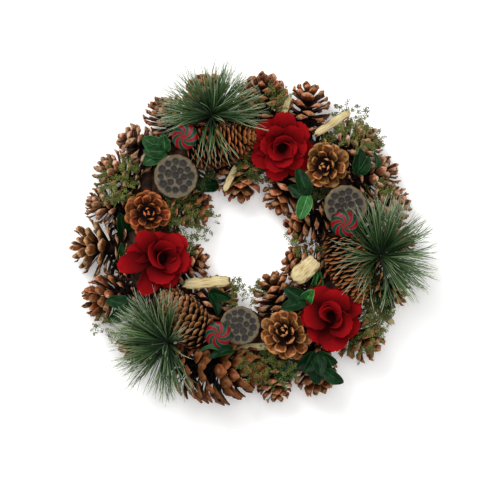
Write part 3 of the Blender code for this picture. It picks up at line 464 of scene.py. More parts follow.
# how the scales of each kind of cone stand, by their place t from base (0) to tip (1).
# foot: share of the length. Core and length: share of the radius. Lean: degrees above square to the axis.
coneKinds = {
    "open": {
        "shape": "wedge", "count": 48, "foot": ((0, 0.04), (1, 0.74)),
        "core": ((0, 0.18), (0.15, 0.28), (0.45, 0.29), (0.75, 0.18), (1, 0.05)),
        "lean": ((0, -22), (0.18, 2), (0.5, 24), (0.75, 38), (1, 56)),
        "length": ((0, 0.56), (0.2, 0.80), (0.5, 0.85), (0.75, 0.82), (1, 0.64)),
        "width": ((0, 0.23), (0.2, 0.30), (0.5, 0.32), (0.8, 0.25), (1, 0.15)),
        "thick": 1.0, "scatter": 11},
    "swept": {
        "shape": "finger", "count": 52, "foot": ((0, 0.03), (1, 0.68)),
        "core": ((0, 0.18), (0.15, 0.28), (0.45, 0.29), (0.75, 0.18), (1, 0.05)),
        "lean": ((0, -14), (0.2, 12), (0.5, 32), (0.75, 44), (1, 60)),
        "length": ((0, 0.56), (0.2, 0.86), (0.5, 0.98), (0.75, 0.96), (1, 0.74)),
        "width": ((0, 0.15), (0.2, 0.195), (0.5, 0.205), (0.8, 0.175), (1, 0.11)),
        "thick": 0.95, "scatter": 13},
    "big": {
        "shape": "spoon", "count": 118, "foot": ((0, 0.06), (1, 0.84)),
        "core": ((0, 0.08), (0.15, 0.15), (0.4, 0.17), (0.7, 0.12), (1, 0.04)),
        "lean": ((0, -34), (0.15, -16), (0.35, -4), (0.6, 10), (0.8, 30), (1, 66)),
        "length": ((0, 0.56), (0.2, 0.80), (0.5, 0.84), (0.75, 0.74), (1, 0.40)),
        "width": ((0, 0.13), (0.2, 0.185), (0.5, 0.19), (0.8, 0.155), (1, 0.09)),
        "thick": 0.72, "scatter": 9},
    "flared": {
        "shape": "wedge", "count": 58, "foot": ((0, 0.04), (1, 0.68)),
        "core": ((0, 0.16), (0.15, 0.25), (0.45, 0.26), (0.75, 0.16), (1, 0.05)),
        "lean": ((0, -20), (0.2, 4), (0.5, 24), (0.75, 40), (1, 58)),
        "length": ((0, 0.56), (0.2, 0.84), (0.5, 0.94), (0.75, 0.92), (1, 0.72)),
        "width": ((0, 0.17), (0.2, 0.225), (0.5, 0.235), (0.8, 0.19), (1, 0.11)),
        "thick": 0.5, "scatter": 14},
    "rosette": {
        "shape": "petal", "count": 32, "foot": ((0, 0.14), (1, 0.82)),
        "core": ((0, 0.20), (0.4, 0.24), (0.8, 0.13), (1, 0.04)),
        "lean": ((0, -8), (0.3, 8), (0.55, 26), (0.8, 56), (1, 84)),
        "length": ((0, 0.74), (0.35, 0.78), (0.6, 0.70), (0.85, 0.50), (1, 0.32)),
        "width": ((0, 0.21), (0.3, 0.225), (0.6, 0.20), (0.85, 0.13), (1, 0.075)),
        "thick": 0.95, "scatter": 14},
    "plated": {
        "shape": "plate", "count": 204, "foot": ((0, 0.03), (1, 0.91)),
        "core": ((0, 0.30), (0.1, 0.44), (0.35, 0.52), (0.6, 0.48), (0.85, 0.26), (1, 0.06)),
        "lean": ((0, -6), (0.1, 3), (0.5, 14), (0.8, 28), (1, 72)),
        "length": ((0, 0.40), (0.15, 0.54), (0.5, 0.56), (0.8, 0.50), (1, 0.30)),
        "width": ((0, 0.18), (0.15, 0.235), (0.6, 0.235), (0.85, 0.16), (1, 0.07)),
        "thick": 0.72, "scatter": 5},
    "shingled": {
        "shape": "plate", "count": 190, "foot": ((0, 0.03), (1, 0.90)),
        "core": ((0, 0.36), (0.1, 0.54), (0.35, 0.66), (0.6, 0.60), (0.85, 0.34), (1, 0.07)),
        "lean": ((0, 12), (0.1, 30), (0.5, 50), (0.85, 60), (1, 78)),
        "length": ((0, 0.44), (0.15, 0.58), (0.5, 0.60), (0.8, 0.52), (1, 0.30)),
        "width": ((0, 0.18), (0.15, 0.21), (0.6, 0.21), (0.85, 0.15), (1, 0.06)),
        "thick": 0.9, "scatter": 4},
}


def measureCone(node, axis):
    # base, length and radius of the CAD cone. A few points stick out, so 93 of 100 lie within the radius
    points = [v.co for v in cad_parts[node].data.vertices]
    reach = [p.dot(axis) for p in points]
    start, end = min(reach), max(reach)
    foot = [p for p, r in zip(points, reach) if r < start + 0.2 * mm]
    base = sum(foot, Vector()) / len(foot)
    far = sorted((p - base - axis * (p - base).dot(axis)).length for p in points)
    return base, end - start, far[int(len(far) * 0.93)]


# scales shorten until they clear what is built. Shares are of the cone's radius or of the scale's own size
scaleRule = {
    "sunk": 0.85,               # feet stand inside the core
    "shares": (1.0, 0.82, 0.66, 0.5), "checkFrom": 0.25, "checkTo": 1.03, "checkSides": (-0.7, 0, 0.7),
    "floorGap": 1.5, "roll": 14, "longer": (0.9, 1.07), "wider": (0.88, 1.1),
    "thickness": (0.15, 1.08),  # of every scale, and more for a longer one
    "usualRadius": 25, "leastWide": 0.6,
    "coreSides": 12, "coreSteps": 8, "coreStart": 0.06, "coreTint": 0.3,
}


def modelCore(node, kind, length, radius):
    rule = scaleRule
    outline = [(0, rule["coreStart"], rule["coreStart"], 0)]
    for step in range(rule["coreSteps"] + 1):
        t = step / rule["coreSteps"]
        wide = curveAt(kind["core"], t) * radius / mm
        outline.append((curveAt(kind["foot"], t) * length / mm, wide, wide, 0))
    core = drawOut(node + "Core", outline, rule["coreSides"])
    mapStations(core, outline)
    # the core takes the near-black colour of a scale's foot: painted shade deep inside the cone
    setAlong(core, 0.0)
    return core


def fitScale(matrix, reach, wide):
    # the largest share of the scale's length at which its end is clear, or 0
    rule = scaleRule
    start = matrix @ Vector((reach * rule["checkFrom"], 0, 0))
    for share in rule["shares"]:
        far = reach * share * rule["checkTo"]
        ends = [matrix @ Vector((far, wide * side, 0)) for side in rule["checkSides"]]
        if min(end.z for end in ends) > rule["floorGap"] * mm and not any(isBlocked(start,
                end) for end in ends):
            return share
    return 0


def dressCone(node, azimuth, elevation, kindName, finishName, slotName):
    kind, rule, finish = coneKinds[kindName], scaleRule, coneFinish[finishName]
    axis = aimVector(azimuth, elevation)
    base, length, radius = measureCone(node, axis)
    shape = scaleShapes[kind["shape"]]
    shapeLength, shapeWidth = shape[-1][0] * mm, max(s[1] for s in shape) * mm
    core = modelCore(node, kind, length, radius)
    stand = frameAlong(base, axis)
    parts = [placeCopy(core, stand, rule["coreTint"], finish)]
    removeTemplate(core)
    draw = random.Random(node)
    for i in range(kind["count"]):
        t = i / (kind["count"] - 1)
        lean = math.radians(curveAt(kind["lean"], t) + swing(draw, 1) * kind["scatter"])
        reach = curveAt(kind["length"], t) * radius * draw.uniform(*rule["longer"])
        wide = curveAt(kind["width"], t) * radius * draw.uniform(*rule["wider"])
        foot = Vector((curveAt(kind["foot"], t) * length, 0,
            curveAt(kind["core"], t) * radius * rule["sunk"]))
        stance = stand @ leanOut(i * goldenTurn, foot, lean)
        share = fitScale(stance, reach, wide)
        if not share:
            continue
        roll = math.radians(swing(draw, rule["roll"]))
        least, more = rule["thickness"]
        thick = kind["thick"] * radius / (rule["usualRadius"] * mm) * (least + more * reach / radius)
        wide *= rule["leastWide"] + (1 - rule["leastWide"]) * share
        size = scaling(reach * share / shapeLength, wide / shapeWidth, thick)
        template = draw.choice(scaleTemplates[kind["shape"]])
        parts.append(placeCopy(template, stance @ Matrix.Rotation(roll, 4, "X") @ size, draw.random(),
            finish))
    finishPiece(node, parts, slotName)


# the vine ring: thick strands laid like a rope, with thin ones wound loosely round them.
# strands: (how many, radius, orbit sideways, orbit up, middle height, turns, wobble)
ringLook = {
    "radius": 105, "steps": 150,
    "strands": ((6, 6.6, 12.0, 10.2, 17.0, 7, 0.8), (9, 1.9, 25.0, 9.0, 13.5, 9, 2.6),
        (7, 1.4, 31.0, 7.5, 11.5, -7, 3.0)),
    "looseTendrils": (11, 1.7, 33.0, 6.4, 10.5, 11, 3.0), "tendrilSeed": 40,
    # waves in one round: sideways, up, in the winding and in the thickness, and how strong the last is
    "waves": (5, 8, 3, 9), "upShare": 0.3, "windShare": 0.25, "thicknessWave": 0.06,
}


def vineMaterial():
    # grapevine stems, bark on: dull brown with long cracks and flaking grey strips
    add, read = startMaterial("driedVineBark", 0.9, 0.2)
    stretch = add("Mapping", {"Vector": read.grain, "Scale": (60.0, 9.0, 1.0)})
    crack = add("TexNoise", {"Vector": stretch, "Scale": 1.3, "Detail": 5.0})
    blotch = add("TexNoise", {"Vector": read.place, "Scale": 90.0, "Detail": 3.0})
    mixed = add("Math", crack, blotch, operation="ADD")
    half = add("Math", mixed, 0.5, operation="MULTIPLY")
    bark = add("ValToRGB", half, stops=(
        (0.34, "#0e0704"), (0.47, "#24150c"), (0.58, "#3f2819"), (0.68, "#5f4630")))
    return endMaterial(add, read, bark, crack, 0.8, 1.2)


vineFinish = vineMaterial()


def layStrand(seed, share, radius, wide, high, middleHeight, turns, wobble):
    look = ringLook
    clearSelection()
    bpy.ops.curve.primitive_bezier_circle_add(radius=look["radius"] * mm)
    line = bpy.context.object
    line.data.splines.clear()
    path = line.data.splines.new("POLY")
    path.points.add(look["steps"] - 1)
    draw = random.Random(seed)
    offset = [draw.uniform(0, fullTurn) for _ in range(4)]
    sideways, upward, winding, thickening = look["waves"]
    for i in range(look["steps"]):
        along = 2 * math.pi * i / look["steps"]
        wound = look["windShare"] * wobble * math.sin(winding * along + offset[3])
        around = 2 * math.pi * share + turns * along + wound
        out = look["radius"] + wide * math.cos(around) + wobble * math.sin(sideways * along + offset[0])
        rise = look["upShare"] * wobble * math.sin(upward * along + offset[1])
        height = middleHeight + high * math.sin(around) + rise
        path.points[i].co = (out * math.cos(along) * mm, out * math.sin(along) * mm, height * mm, 1)
        thicker = look["thicknessWave"] * math.sin(thickening * along + offset[2])
        path.points[i].radius = 1 - look["thicknessWave"] + thicker
    path.use_cyclic_u = True
    line.data.dimensions = "3D"
    line.data.bevel_depth = radius * mm
    line.data.bevel_resolution = 3 if radius > 3 else 1
    line.data.use_fill_caps = False
    bpy.ops.object.convert(target="MESH")
    piece = bpy.context.object
    # along the strand and round it
    spots = []
    for vertex in piece.data.vertices:
        flat = Vector((vertex.co.x, vertex.co.y, 0))
        along = math.atan2(flat.y, flat.x) / (2 * math.pi)
        around = math.atan2(vertex.co.z - middleHeight * mm, flat.length - look["radius"] * mm)
        spots.append((abs(along), abs(around) / math.pi + seed, 0.0))
    writeSpots(piece, spots)
    piece.data.materials.clear()
    piece.data.materials.append(vineFinish)
    bpy.ops.object.shade_smooth()
    piece.data.transform(Matrix.Translation(ringMiddle))
    return piece


def buildRing():
    strands = []
    for count, *shape in ringLook["strands"]:
        strands += [layStrand(len(strands) + i, i / count, *shape) for i in range(count)]
    finishPiece("vine_ring", strands, "vine")


def buildTendrils():
    # they stray out between the cones and close the gaps under them
    count, *shape = ringLook["looseTendrils"]
    tendrils = [layStrand(ringLook["tendrilSeed"] + i, i / count, *shape) for i in range(count)]
    finishPiece("looseTendrils", tendrils, "vine")


buildRing()
print("vine ring built")

# long cones and cones standing on end
# node: (aim azimuth, aim elevation, kind, finish)
longCones = {
    "long_cone_top": (15, 3, "plated", "openConePlate"),
    "long_cone_right": (-71, 3, "plated", "openConePlate"),
    "long_cone_left": (133, 5, "shingled", "closedConeShingle"),
}
standingCones = {
    "rosette_cone_right": (225, 84, "rosette", "goldenConePetal"),
    "rosette_cone_left": (20, 84, "rosette", "russetConePetal"),
    "rosette_cone_bottom": (120, 76, "rosette", "goldenConePetal"),
}
for node, look in longCones.items():
    dressCone(node, *look, "cone_tan")
print("long cones built")


# petals of the wood roses
def roseMaterial():
    # wood-shaving flower dyed red: matte and slightly furry, with fine straight grain, near black towards
    # each petal's foot as painted shade deep in the bloom
    add, read = startMaterial("dyedWoodShaving", 0.88, 0.06)
    stretch = add("Mapping", {"Vector": read.grain, "Scale": (3.0, 40.0, 1.0)})
    fibre = add("TexNoise", {"Vector": stretch, "Scale": 1.5, "Detail": 3.0})
    blotch = add("TexNoise", {"Vector": read.place, "Scale": 160.0, "Detail": 2.0})
    # dark towards the petal's foot: painted shade inside the bloom
    base = add("ValToRGB", read.along, stops=(
        (0.0, "#140001"), (0.32, "#3c0203"), (0.7, "#6e050a"), (1.0, "#8c0a0f")))
    fibreValue = add("MapRange", fibre, 0.3, 0.7, 0.86, 1.08)
    blotchValue = add("MapRange", blotch, 0.3, 0.7, 0.9, 1.08)
    ownValue = add("MapRange", read.tint, 0, 1, 0.9, 1.08)
    value = add("Math", fibreValue, blotchValue, operation="MULTIPLY")
    wholeValue = add("Math", value, ownValue, operation="MULTIPLY")
    red = add("HueSaturation", {"Value": wholeValue, "Color": base})
    return endMaterial(add, read, red, fibre, 0.3, 0.3)


roseFinish = roseMaterial()

# petal kinds: length and width in mm, how far it bends back from foot to end and how far its sides wrap
# round, both in degrees, and the waves, the lobes and the cutter's saw teeth along its edge, in mm
petalKinds = {
    "broad": {"length": 25, "width": 28, "bend": 58, "cup": 34, "wave": 0.8, "lobe": 0.7, "tooth": 0.25},
    "long": {"length": 33, "width": 27, "bend": 42, "cup": 40, "wave": 1.2, "lobe": 0.6, "tooth": 0.25},
    "cupped": {"length": 22, "width": 28, "bend": 62, "cup": 62, "wave": 0.5, "lobe": 0.5, "tooth": 0.22},
    "rolled": {"length": 21, "width": 19, "bend": 26, "cup": 84, "wave": 0.3, "lobe": 0.3, "tooth": 0.15},
}


petalRule = {
    "cellsAlong": 16, "cellsAcross": 18, "thickness": 0.7, "footWidth": 0.42, "fullness": 0.8,
    "lobes": 17, "lobeShift": 0.3, "edgeFrom": 0.99, "teethFrom": -0.3,
}


def modelPetal(name, look):
    # a flat grid, shaped point by point: no primitive or extrusion gives a petal's double curve
    clearSelection()
    bpy.ops.mesh.primitive_grid_add(
        x_subdivisions=petalRule["cellsAlong"], y_subdivisions=petalRule["cellsAcross"], size=2,
        location=(0, 0, 0))
    petal = bpy.context.object
    petal.name = name
    bend, cup, half = math.radians(look["bend"]), math.radians(look["cup"]), look["width"] / 2
    rule = petalRule
    spots = []
    for vertex in petal.data.vertices:
        q, s = vertex.co.x, vertex.co.y
        across = s * math.sqrt(1 - q * q / 2)
        t = q * math.sqrt(1 - s * s / 2)
        # lobes and saw teeth move the edge in and out
        lobes = math.sin(rule["lobes"] * math.atan2(s, q + rule["lobeShift"]))
        grow = look["lobe"] * lobes * max(0.0, math.hypot(s, q) - 0.5)
        if (abs(s) > rule["edgeFrom"] or q > rule["edgeFrom"]) and q > rule["teethFrom"]:
            cell = round((s + 1) * rule["cellsAcross"] / 2 + (q + 1) * rule["cellsAlong"] / 2)
            grow += look["tooth"] * (1 if cell % 2 else -1)
        across *= 1 + grow / half
        t = min(1.1, 0.5 + 0.5 * t * (1 + 2 * grow / look["length"]))
        # narrow at the foot, full width from the middle on
        spread = min(1.0, max(0.0, t) / 0.5) ** rule["fullness"]
        wide = half * (rule["footWidth"] + (1 - rule["footWidth"]) * spread)
        slope = bend * (0.5 - t)
        x = look["length"] * (math.sin(bend / 2) - math.sin(slope)) / bend
        z = look["length"] * (math.cos(slope) - math.cos(bend / 2)) / bend
        wave = look["wave"] * math.sin(4.5 * across + 2 * t) * max(0.0, t) ** 3
        rise = wide * (1 - math.cos(cup * across)) / cup + wave
        y = wide * math.sin(cup * across) / cup
        vertex.co = Vector((x - rise * math.sin(slope), y, z + rise * math.cos(slope))) * mm
        spots.append((t, 0.5 + s / 2, 1.0))
    writeSpots(petal, spots)
    thicken(petal, petalRule["thickness"])
    return petal


petalTemplates = {name: modelPetal(name, look) for name, look in petalKinds.items()}

# middle of each bloom from its node's middle, and its petals:
# (kind, azimuth, elevation, length share, width share, height of its foot, distance of its foot, roll)
roseLooks = {
    "rose_top": ((-1, 1), [
        ("broad", 88, 6, 1.32, 1.05, 8, 4, 6), ("broad", 40, 6, 1.18, 1.0, 9, 4, -8),
        ("broad", -8, 4, 1.12, 0.95, 8, 4, 8), ("broad", -52, 8, 1.22, 0.95, 8, 4, -6),
        ("broad", -100, 6, 1.28, 0.95, 9, 4, 8), ("broad", -148, 8, 1.22, 0.9, 8, 4, 6),
        ("broad", 172, 4, 1.10, 0.9, 9, 4, -6), ("broad", 132, 8, 1.22, 1.0, 8, 4, 8),
        ("broad", 60, 30, 1.14, 1.0, 12, 4, 10), ("broad", 8, 30, 0.98, 0.9, 12, 4, -10),
        ("broad", -40, 30, 1.0, 0.85, 12, 4, 10), ("broad", -125, 30, 1.02, 0.95, 12, 4, -10),
        ("broad", 165, 32, 0.94, 0.8, 12, 4, 10), ("broad", 112, 32, 1.04, 0.8, 12, 4, -10),
        ("cupped", 95, 56, 0.98, 0.98, 14, 4, 8), ("cupped", 10, 58, 0.92, 0.92, 14, 4, -14),
        ("cupped", -70, 52, 0.98, 0.98, 14, 4, 14), ("cupped", 200, 58, 0.92, 0.9, 14, 4, 12),
        ("rolled", 4, 78, 0.98, 1.15, 11, 4.6, 0), ("rolled", 184, 78, 0.96, 1.15, 11, 4.6, 0)]),
    "rose_right": ((-1, 4), [
        ("broad", 122, 14, 1.22, 1.1, 9, 4, 10), ("broad", 24, 12, 1.16, 1.05, 9, 5, -14),
        ("broad", -80, 8, 1.26, 1.15, 8, 5, 6), ("broad", -130, 6, 1.08, 0.95, 8, 4, -8),
        ("broad", -25, 4, 1.12, 1.0, 8, 4, 8), ("broad", 70, 6, 1.1, 1.0, 8, 4, 8),
        ("broad", 180, 4, 1.08, 1.0, 8, 4, 8), ("broad", 188, 32, 1.12, 1.1, 12, 5, 12),
        ("broad", 72, 40, 1.12, 1.2, 12, 5, 4),
        ("cupped", -38, 40, 1.22, 1.15, 12, 5, 16), ("cupped", 60, 62, 0.95, 1.0, 13, 4, -10),
        ("cupped", 165, 66, 0.9, 0.8, 13, 4, 10),
        ("rolled", -35, 72, 1.1, 1.25, 10, 5.5, 22), ("rolled", 140, 78, 0.95, 1.1, 11, 5, -12)]),
    "rose_left": ((7, 5), [
        ("long", 194, 6, 1.14, 0.92, 9, 10, 14), ("long", 238, 4, 1.05, 0.9, 9, 9, -8),
        ("long", 288, 6, 0.84, 0.9, 9, 4, 8), ("long", 345, 8, 0.82, 0.95, 10, 4, 10),
        ("long", 40, 12, 0.86, 0.95, 10, 4, -10), ("long", 95, 8, 0.7, 0.9, 9, 4, 8),
        ("long", 136, 16, 0.92, 0.9, 10, 6, 12), ("long", 165, 4, 0.92, 0.8, 9, 6, -6),
        ("broad", 350, 30, 1.05, 1.05, 13, 4, 14), ("broad", 50, 34, 1.04, 1.0, 13, 4, -12),
        ("broad", 262, 26, 1.06, 1.1, 12, 5, 10),
        ("cupped", 190, 60, 1.15, 1.25, 13, 6, 8), ("cupped", 85, 60, 1.05, 1.05, 14, 4, -8),
        ("cupped", 320, 48, 1.0, 1.0, 13, 4, 12),
        ("rolled", 215, 74, 1.05, 1.2, 11, 5.2, -20), ("rolled", 20, 76, 1.0, 1.1, 11, 5.2, 10)]),
}
# node: (bloom x, y, tilt azimuth, tilt)
roseSeats = {"rose_top": (36, 98, -80, 14), "rose_right": (86, -82.5, 100, 8),
    "rose_left": (-96.5, -25, 30, 16)}
bloomHeight = 10   # of the bloom's frame above the stick's foot, in mm
petalScatter = 3   # degrees by which a petal may differ from its row
stickStations = ((0, 1.8, 1.8, 0), (5, 1.7, 1.7, 0.2), (8, 5.6, 5.6, 0), (11, 6.8, 6.8, 0),
    (12.4, 5.4, 5.4, 0), (13, 1.5, 1.5, 0))


def buildRose(node):
    x, y, azimuth, tilt = roseSeats[node]
    axis = aimVector(azimuth, 90 - tilt)
    # the CAD bloom stands on a stick that starts at the node's lowest point
    foot = ringPlace(x, y)
    foot.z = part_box(node)[0].z
    (shiftX, shiftY), petals = roseLooks[node]
    middle = foot + axis * bloomHeight * mm + Vector((shiftX, shiftY, 0)) * mm
    stand = frameAlong(middle, axis, upward=Vector((0, 1, 0)))
    stick = drawOut(node + "Stick", stickStations, 10)
    mapStations(stick, stickStations)
    # the sticks take the near-black of a petal's foot: painted shade in the bloom's hollow middle
    setAlong(stick, 0.05)
    # one below, and one whose calyx holds the petals' feet
    parts = [placeCopy(stick, stance, 0.1, roseFinish) for stance in (frameAlong(foot, axis), stand)]
    removeTemplate(stick)
    draw = random.Random(node)
    for kind, petalAzimuth, elevation, longer, wider, height, out, roll in petals:
        around = math.radians(petalAzimuth - 90 + swing(draw, petalScatter))
        lean = math.radians(elevation + swing(draw, petalScatter))
        stance = stand @ leanOut(around, Vector((height, 0, out)) * mm, lean)
        matrix = stance @ Matrix.Rotation(math.radians(roll), 4, "X") @ scaling(longer, wider, 1)
        parts.append(placeCopy(petalTemplates[kind], matrix, draw.random(), roseFinish))
    finishPiece(node, parts, "rose")


for node in roseSeats:
    buildRose(node)
print("roses built")


# lotus pods
def podMaterial():
    # dried lotus head: papery, grey and dusty, with a pale net between pits that are painted darker the
    # deeper they sink (painted shade in the hollows), and a tan rim
    add, read = startMaterial("driedLotusHead", 0.8)
    blotch = add("TexNoise", {"Vector": read.place, "Scale": 330.0, "Detail": 4.0})
    fine = add("TexNoise", {"Vector": read.place, "Scale": 1100.0, "Detail": 2.0})
    wander = add("MapRange", blotch, 0.3, 0.7, -0.28, 0.28)
    # the face darkens with the pit's depth, carried in upperSide: painted shade in the pits
    deep = add("Math", read.upper, wander, operation="ADD")
    face = add("ValToRGB", deep, stops=(
        (-0.0, "#5d5241"), (0.2, "#484134"), (0.48, "#2e2820"), (0.9, "#1a1713")))
    # from the middle (0) over the rim (1) and down the outside (above 1)
    rim = add("MapRange", read.along, 0.84, 0.95)
    side = add("ValToRGB", blotch, stops=(
        (0.3, "#40331e"), (0.5, "#615137"), (0.7, "#77684c")))
    whole = add("Mix", rim, {6: face, 7: side}, data_type="RGBA")
    speck = add("MapRange", fine, 0.3, 0.7, 0.82, 1.14)
    dusty = add("HueSaturation", {"Value": speck, "Color": whole})
    height = add("Math", blotch, fine, operation="ADD")
    return endMaterial(add, read, dusty, height, 0.5, 0.6)


podLook = {
    "radius": 21, "segments": 108, "rings": 22, "face": 0.955,
    # side of the pod from the rim down to the stalk: (height, radius) as shares of the radius
    "side": ((-0.03, 0.985), (-0.09, 1.0), (-0.20, 0.93), (-0.36, 0.80), (-0.55, 0.60), (-0.70, 0.40),
        (-0.82, 0.20), (-0.95, 0.11), (-1.34, 0.10)),
    # seed pits: (x, y, size) as shares of the radius
    "pits": (
        (0.02, 0.05, 0.123), (0.30, 0.16, 0.117), (-0.26, 0.24, 0.129), (0.06, 0.36, 0.117),
        (-0.30, -0.16, 0.117), (0.08, -0.27, 0.135), (0.36, -0.16, 0.117), (0.62, 0.10, 0.123),
        (0.52, 0.44, 0.129), (0.24, 0.64, 0.117), (-0.12, 0.66, 0.129), (-0.46, 0.52, 0.123),
        (-0.64, 0.22, 0.117), (-0.66, -0.12, 0.129), (-0.52, -0.44, 0.123), (-0.22, -0.58, 0.117),
        (0.16, -0.64, 0.129), (0.47, -0.50, 0.123), (0.68, -0.22, 0.117)),
    "pitDepth": 2.0, "pitSize": 1.22, "pitSpread": 0.16, "pitSteep": 8, "pitEdge": 0.92,
    "seedHigh": 0.25, "seedSize": 0.6, "ripple": 0.35, "bulge": 0.9, "ribs": 13, "ribHeight": 0.012,
}
# node: (x, y, tilt azimuth, tilt, radius, turn)
podSeats = {
    "lotus_pod_left": (-70, 64, 215, 8, 22, 20),
    "lotus_pod_right": (99, 34, 250, 8, 21.5, 95),
    "lotus_pod_bottom": (-6, -84, 90, 15, 20, 160),
}


def modelPod():
    look = podLook
    radius = look["radius"]
    clearSelection()
    face = look["face"]
    bpy.ops.mesh.primitive_circle_add(vertices=look["segments"], radius=face * radius * mm, fill_type="NGON")
    pod = bpy.context.object
    bpy.ops.object.mode_set(mode="EDIT")
    bpy.ops.mesh.select_all(action="SELECT")
    for _ in range(look["rings"]):
        bpy.ops.mesh.inset(thickness=face * radius * mm / (look["rings"] + 1), depth=0)
    bpy.ops.mesh.poke()
    # the outside goes down from the rim
    bpy.ops.mesh.select_all(action="SELECT")
    bpy.ops.mesh.region_to_loop()
    wide, deep = face, 0.0
    for nextDeep, nextWide in look["side"]:
        bpy.ops.mesh.extrude_edges_move(
            TRANSFORM_OT_translate={"value": (0, 0, (nextDeep - deep) * radius * mm)})
        bpy.ops.transform.resize(
            value=(nextWide / wide, nextWide / wide, 1), center_override=(0, 0, nextDeep * radius * mm))
        wide, deep = nextWide, nextDeep
    bpy.ops.mesh.edge_face_add()
    bpy.ops.mesh.select_all(action="SELECT")
    bpy.ops.mesh.normals_make_consistent(inside=False)
    bpy.ops.object.mode_set(mode="OBJECT")
    spots = []
    for vertex in pod.data.vertices:
        x, y, z = vertex.co / (radius * mm)
        far = math.hypot(x, y)
        sunk = 0.0
        if z > -0.01:
            for px, py, size in look["pits"]:
                gap = math.hypot(x - px, (y - py)) / size
                # steep wall, and a round floor with the seed's back in it
                gap /= look["pitSize"] + look["pitSpread"] * math.sin(5 * px + 9 * py)
                wall = 1 - 1 / (1 + math.exp(-look["pitSteep"] * (gap - look["pitEdge"])))
                seed = look["seedHigh"] * max(0.0, 1 - (gap / look["seedSize"]) ** 2)
                sunk = max(sunk, wall - seed)
            ripple = look["ripple"] * math.sin(9 * x + 2 * y) * math.cos(7 * y - 3 * x)
            waved = ripple * (1 - far) + look["bulge"] * (1 - far * far)
            vertex.co.z += (waved - look["pitDepth"] * sunk) * mm
        else:
            # faint ribs down the outside
            ribs = 1 + look["ribHeight"] * math.sin(look["ribs"] * math.atan2(y, x))
            vertex.co.x *= ribs
            vertex.co.y *= ribs
        # the third value, how deep the pit is sunk, drives the painted shade of the pits
        spots.append((far if z > -0.01 else 1.0 - z, 0.5, sunk))
    writeSpots(pod, spots)
    bpy.ops.object.shade_smooth_by_angle(angle=math.radians(50))
    return pod


podFinish = podMaterial()
podTemplate = modelPod()
for node, (x, y, azimuth, tilt, radius, turn) in podSeats.items():
    # the rim's high side ends a little below the node's top
    centre = ringPlace(x, y)
    centre.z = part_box(node)[1].z - 0.9 * radius * mm * math.sin(math.radians(tilt)) - podLook["bulge"] * mm
    axis = aimVector(azimuth, 90 - tilt)
    stand = Matrix.Translation(centre) @ up.rotation_difference(axis).to_matrix().to_4x4()
    grown = radius / podLook["radius"]
    matrix = stand @ Matrix.Rotation(math.radians(turn), 4, "Z") @ scaling(grown, grown, grown)
    finishPiece(node, [placeCopy(podTemplate, matrix, 0.5, podFinish)], "seed_pod")
removeTemplate(podTemplate)
print("lotus pods built")

# swirled sweets
sweetLook = {
    "radius": 13.3, "thickness": 6.8, "waves": 6, "twist": 78,
    # dome from the flat back up to the crown: (height, radius) as shares of thickness and radius
    "profile": ((0.0, 0.84), (0.06, 0.92), (0.2, 0.985), (0.4, 1.0), (0.6, 0.97), (0.76, 0.88), (0.87, 0.74),
        (0.94, 0.56), (0.98, 0.36), (1.0, 0.18)),
    "groove": 0.35, "grooveGrows": 2.2, "grooveFrom": 0.3, "seatRadius": 11.6,
}
# node: (x, y, tilt azimuth, tilt, turn)
sweetSeats = {
    "swirl_sweet_top": (-60, 103, 170, 16, 10),
    "swirl_sweet_right": (97.5, 17, 250, 10, 35),
    "swirl_sweet_bottom": (-27, -93, 200, 8, 0),
}


def sweetMaterial():
    # painted resin sweet: thick gloss paint in red and dark green, pale lines where the colours meet
    add, read = startMaterial("glossPaintedResin", 0.36, 0.14)
    angle = add("Math", read.across, read.along, operation="ARCTAN2")
    far = add("VectorMath", read.grain, operation="LENGTH").node.outputs["Value"]
    bent = add("Math", far, math.radians(sweetLook["twist"]), operation="MULTIPLY")
    swirl = add("Math", angle, bent, operation="SUBTRACT")
    waves = add("Math", swirl, float(sweetLook["waves"]), operation="MULTIPLY")
    wave = add("Math", waves, operation="SINE")
    # the paint's edges wander by a tenth of a stripe
    noise = add("TexNoise", {"Vector": read.place, "Scale": 380.0, "Detail": 2.0})
    wander = add("MapRange", noise, 0.3, 0.7, -0.12, 0.12)
    edge = add("Math", wave, wander, operation="ADD")
    scaled = add("MapRange", edge, -1.0, 1.0)
    paint = add("ValToRGB", scaled, stops=(
        (0.0, "#073224"), (0.465, "#0d4433"), (0.49, "#6d6557"), (0.51, "#6d5a50"), (0.535, "#810c14"),
        (1.0, "#74080e")))
    middle = add("MapRange", far, 0.13, 0.17)
    dotted = add("Mix", middle, {6: linearColour("#7d0d0f"), 7: paint}, data_type="RGBA")
    worn = add("MapRange", noise, 0.3, 0.7, 0.82, 1.12)
    aged = add("HueSaturation", {"Value": worn, "Color": dotted})
    return endMaterial(add, read, aged, noise, 0.25, 0.4)


def modelSweet():
    look = sweetLook
    stations = [(h * look["thickness"], r * look["radius"], r * look["radius"], 0) for h,
        r in look["profile"]]
    sweet = drawOut("sweet", stations, 96)
    spots = []
    for vertex in sweet.data.vertices:
        y, z = vertex.co.y / (look["radius"] * mm), vertex.co.z / (look["radius"] * mm)
        far = math.hypot(y, z)
        # a shallow groove along each line between two colours
        swirl = math.atan2(z, y) - math.radians(look["twist"]) * far
        depth = look["groove"] * abs(math.cos(look["waves"] * swirl)) ** 0.5 * min(1.0,
            far * look["grooveGrows"])
        if vertex.co.x > look["grooveFrom"] * look["thickness"] * mm:
            vertex.co.x += (depth - look["groove"]) * mm
        spots.append((y, z, 1.0))
    writeSpots(sweet, spots)
    return sweet


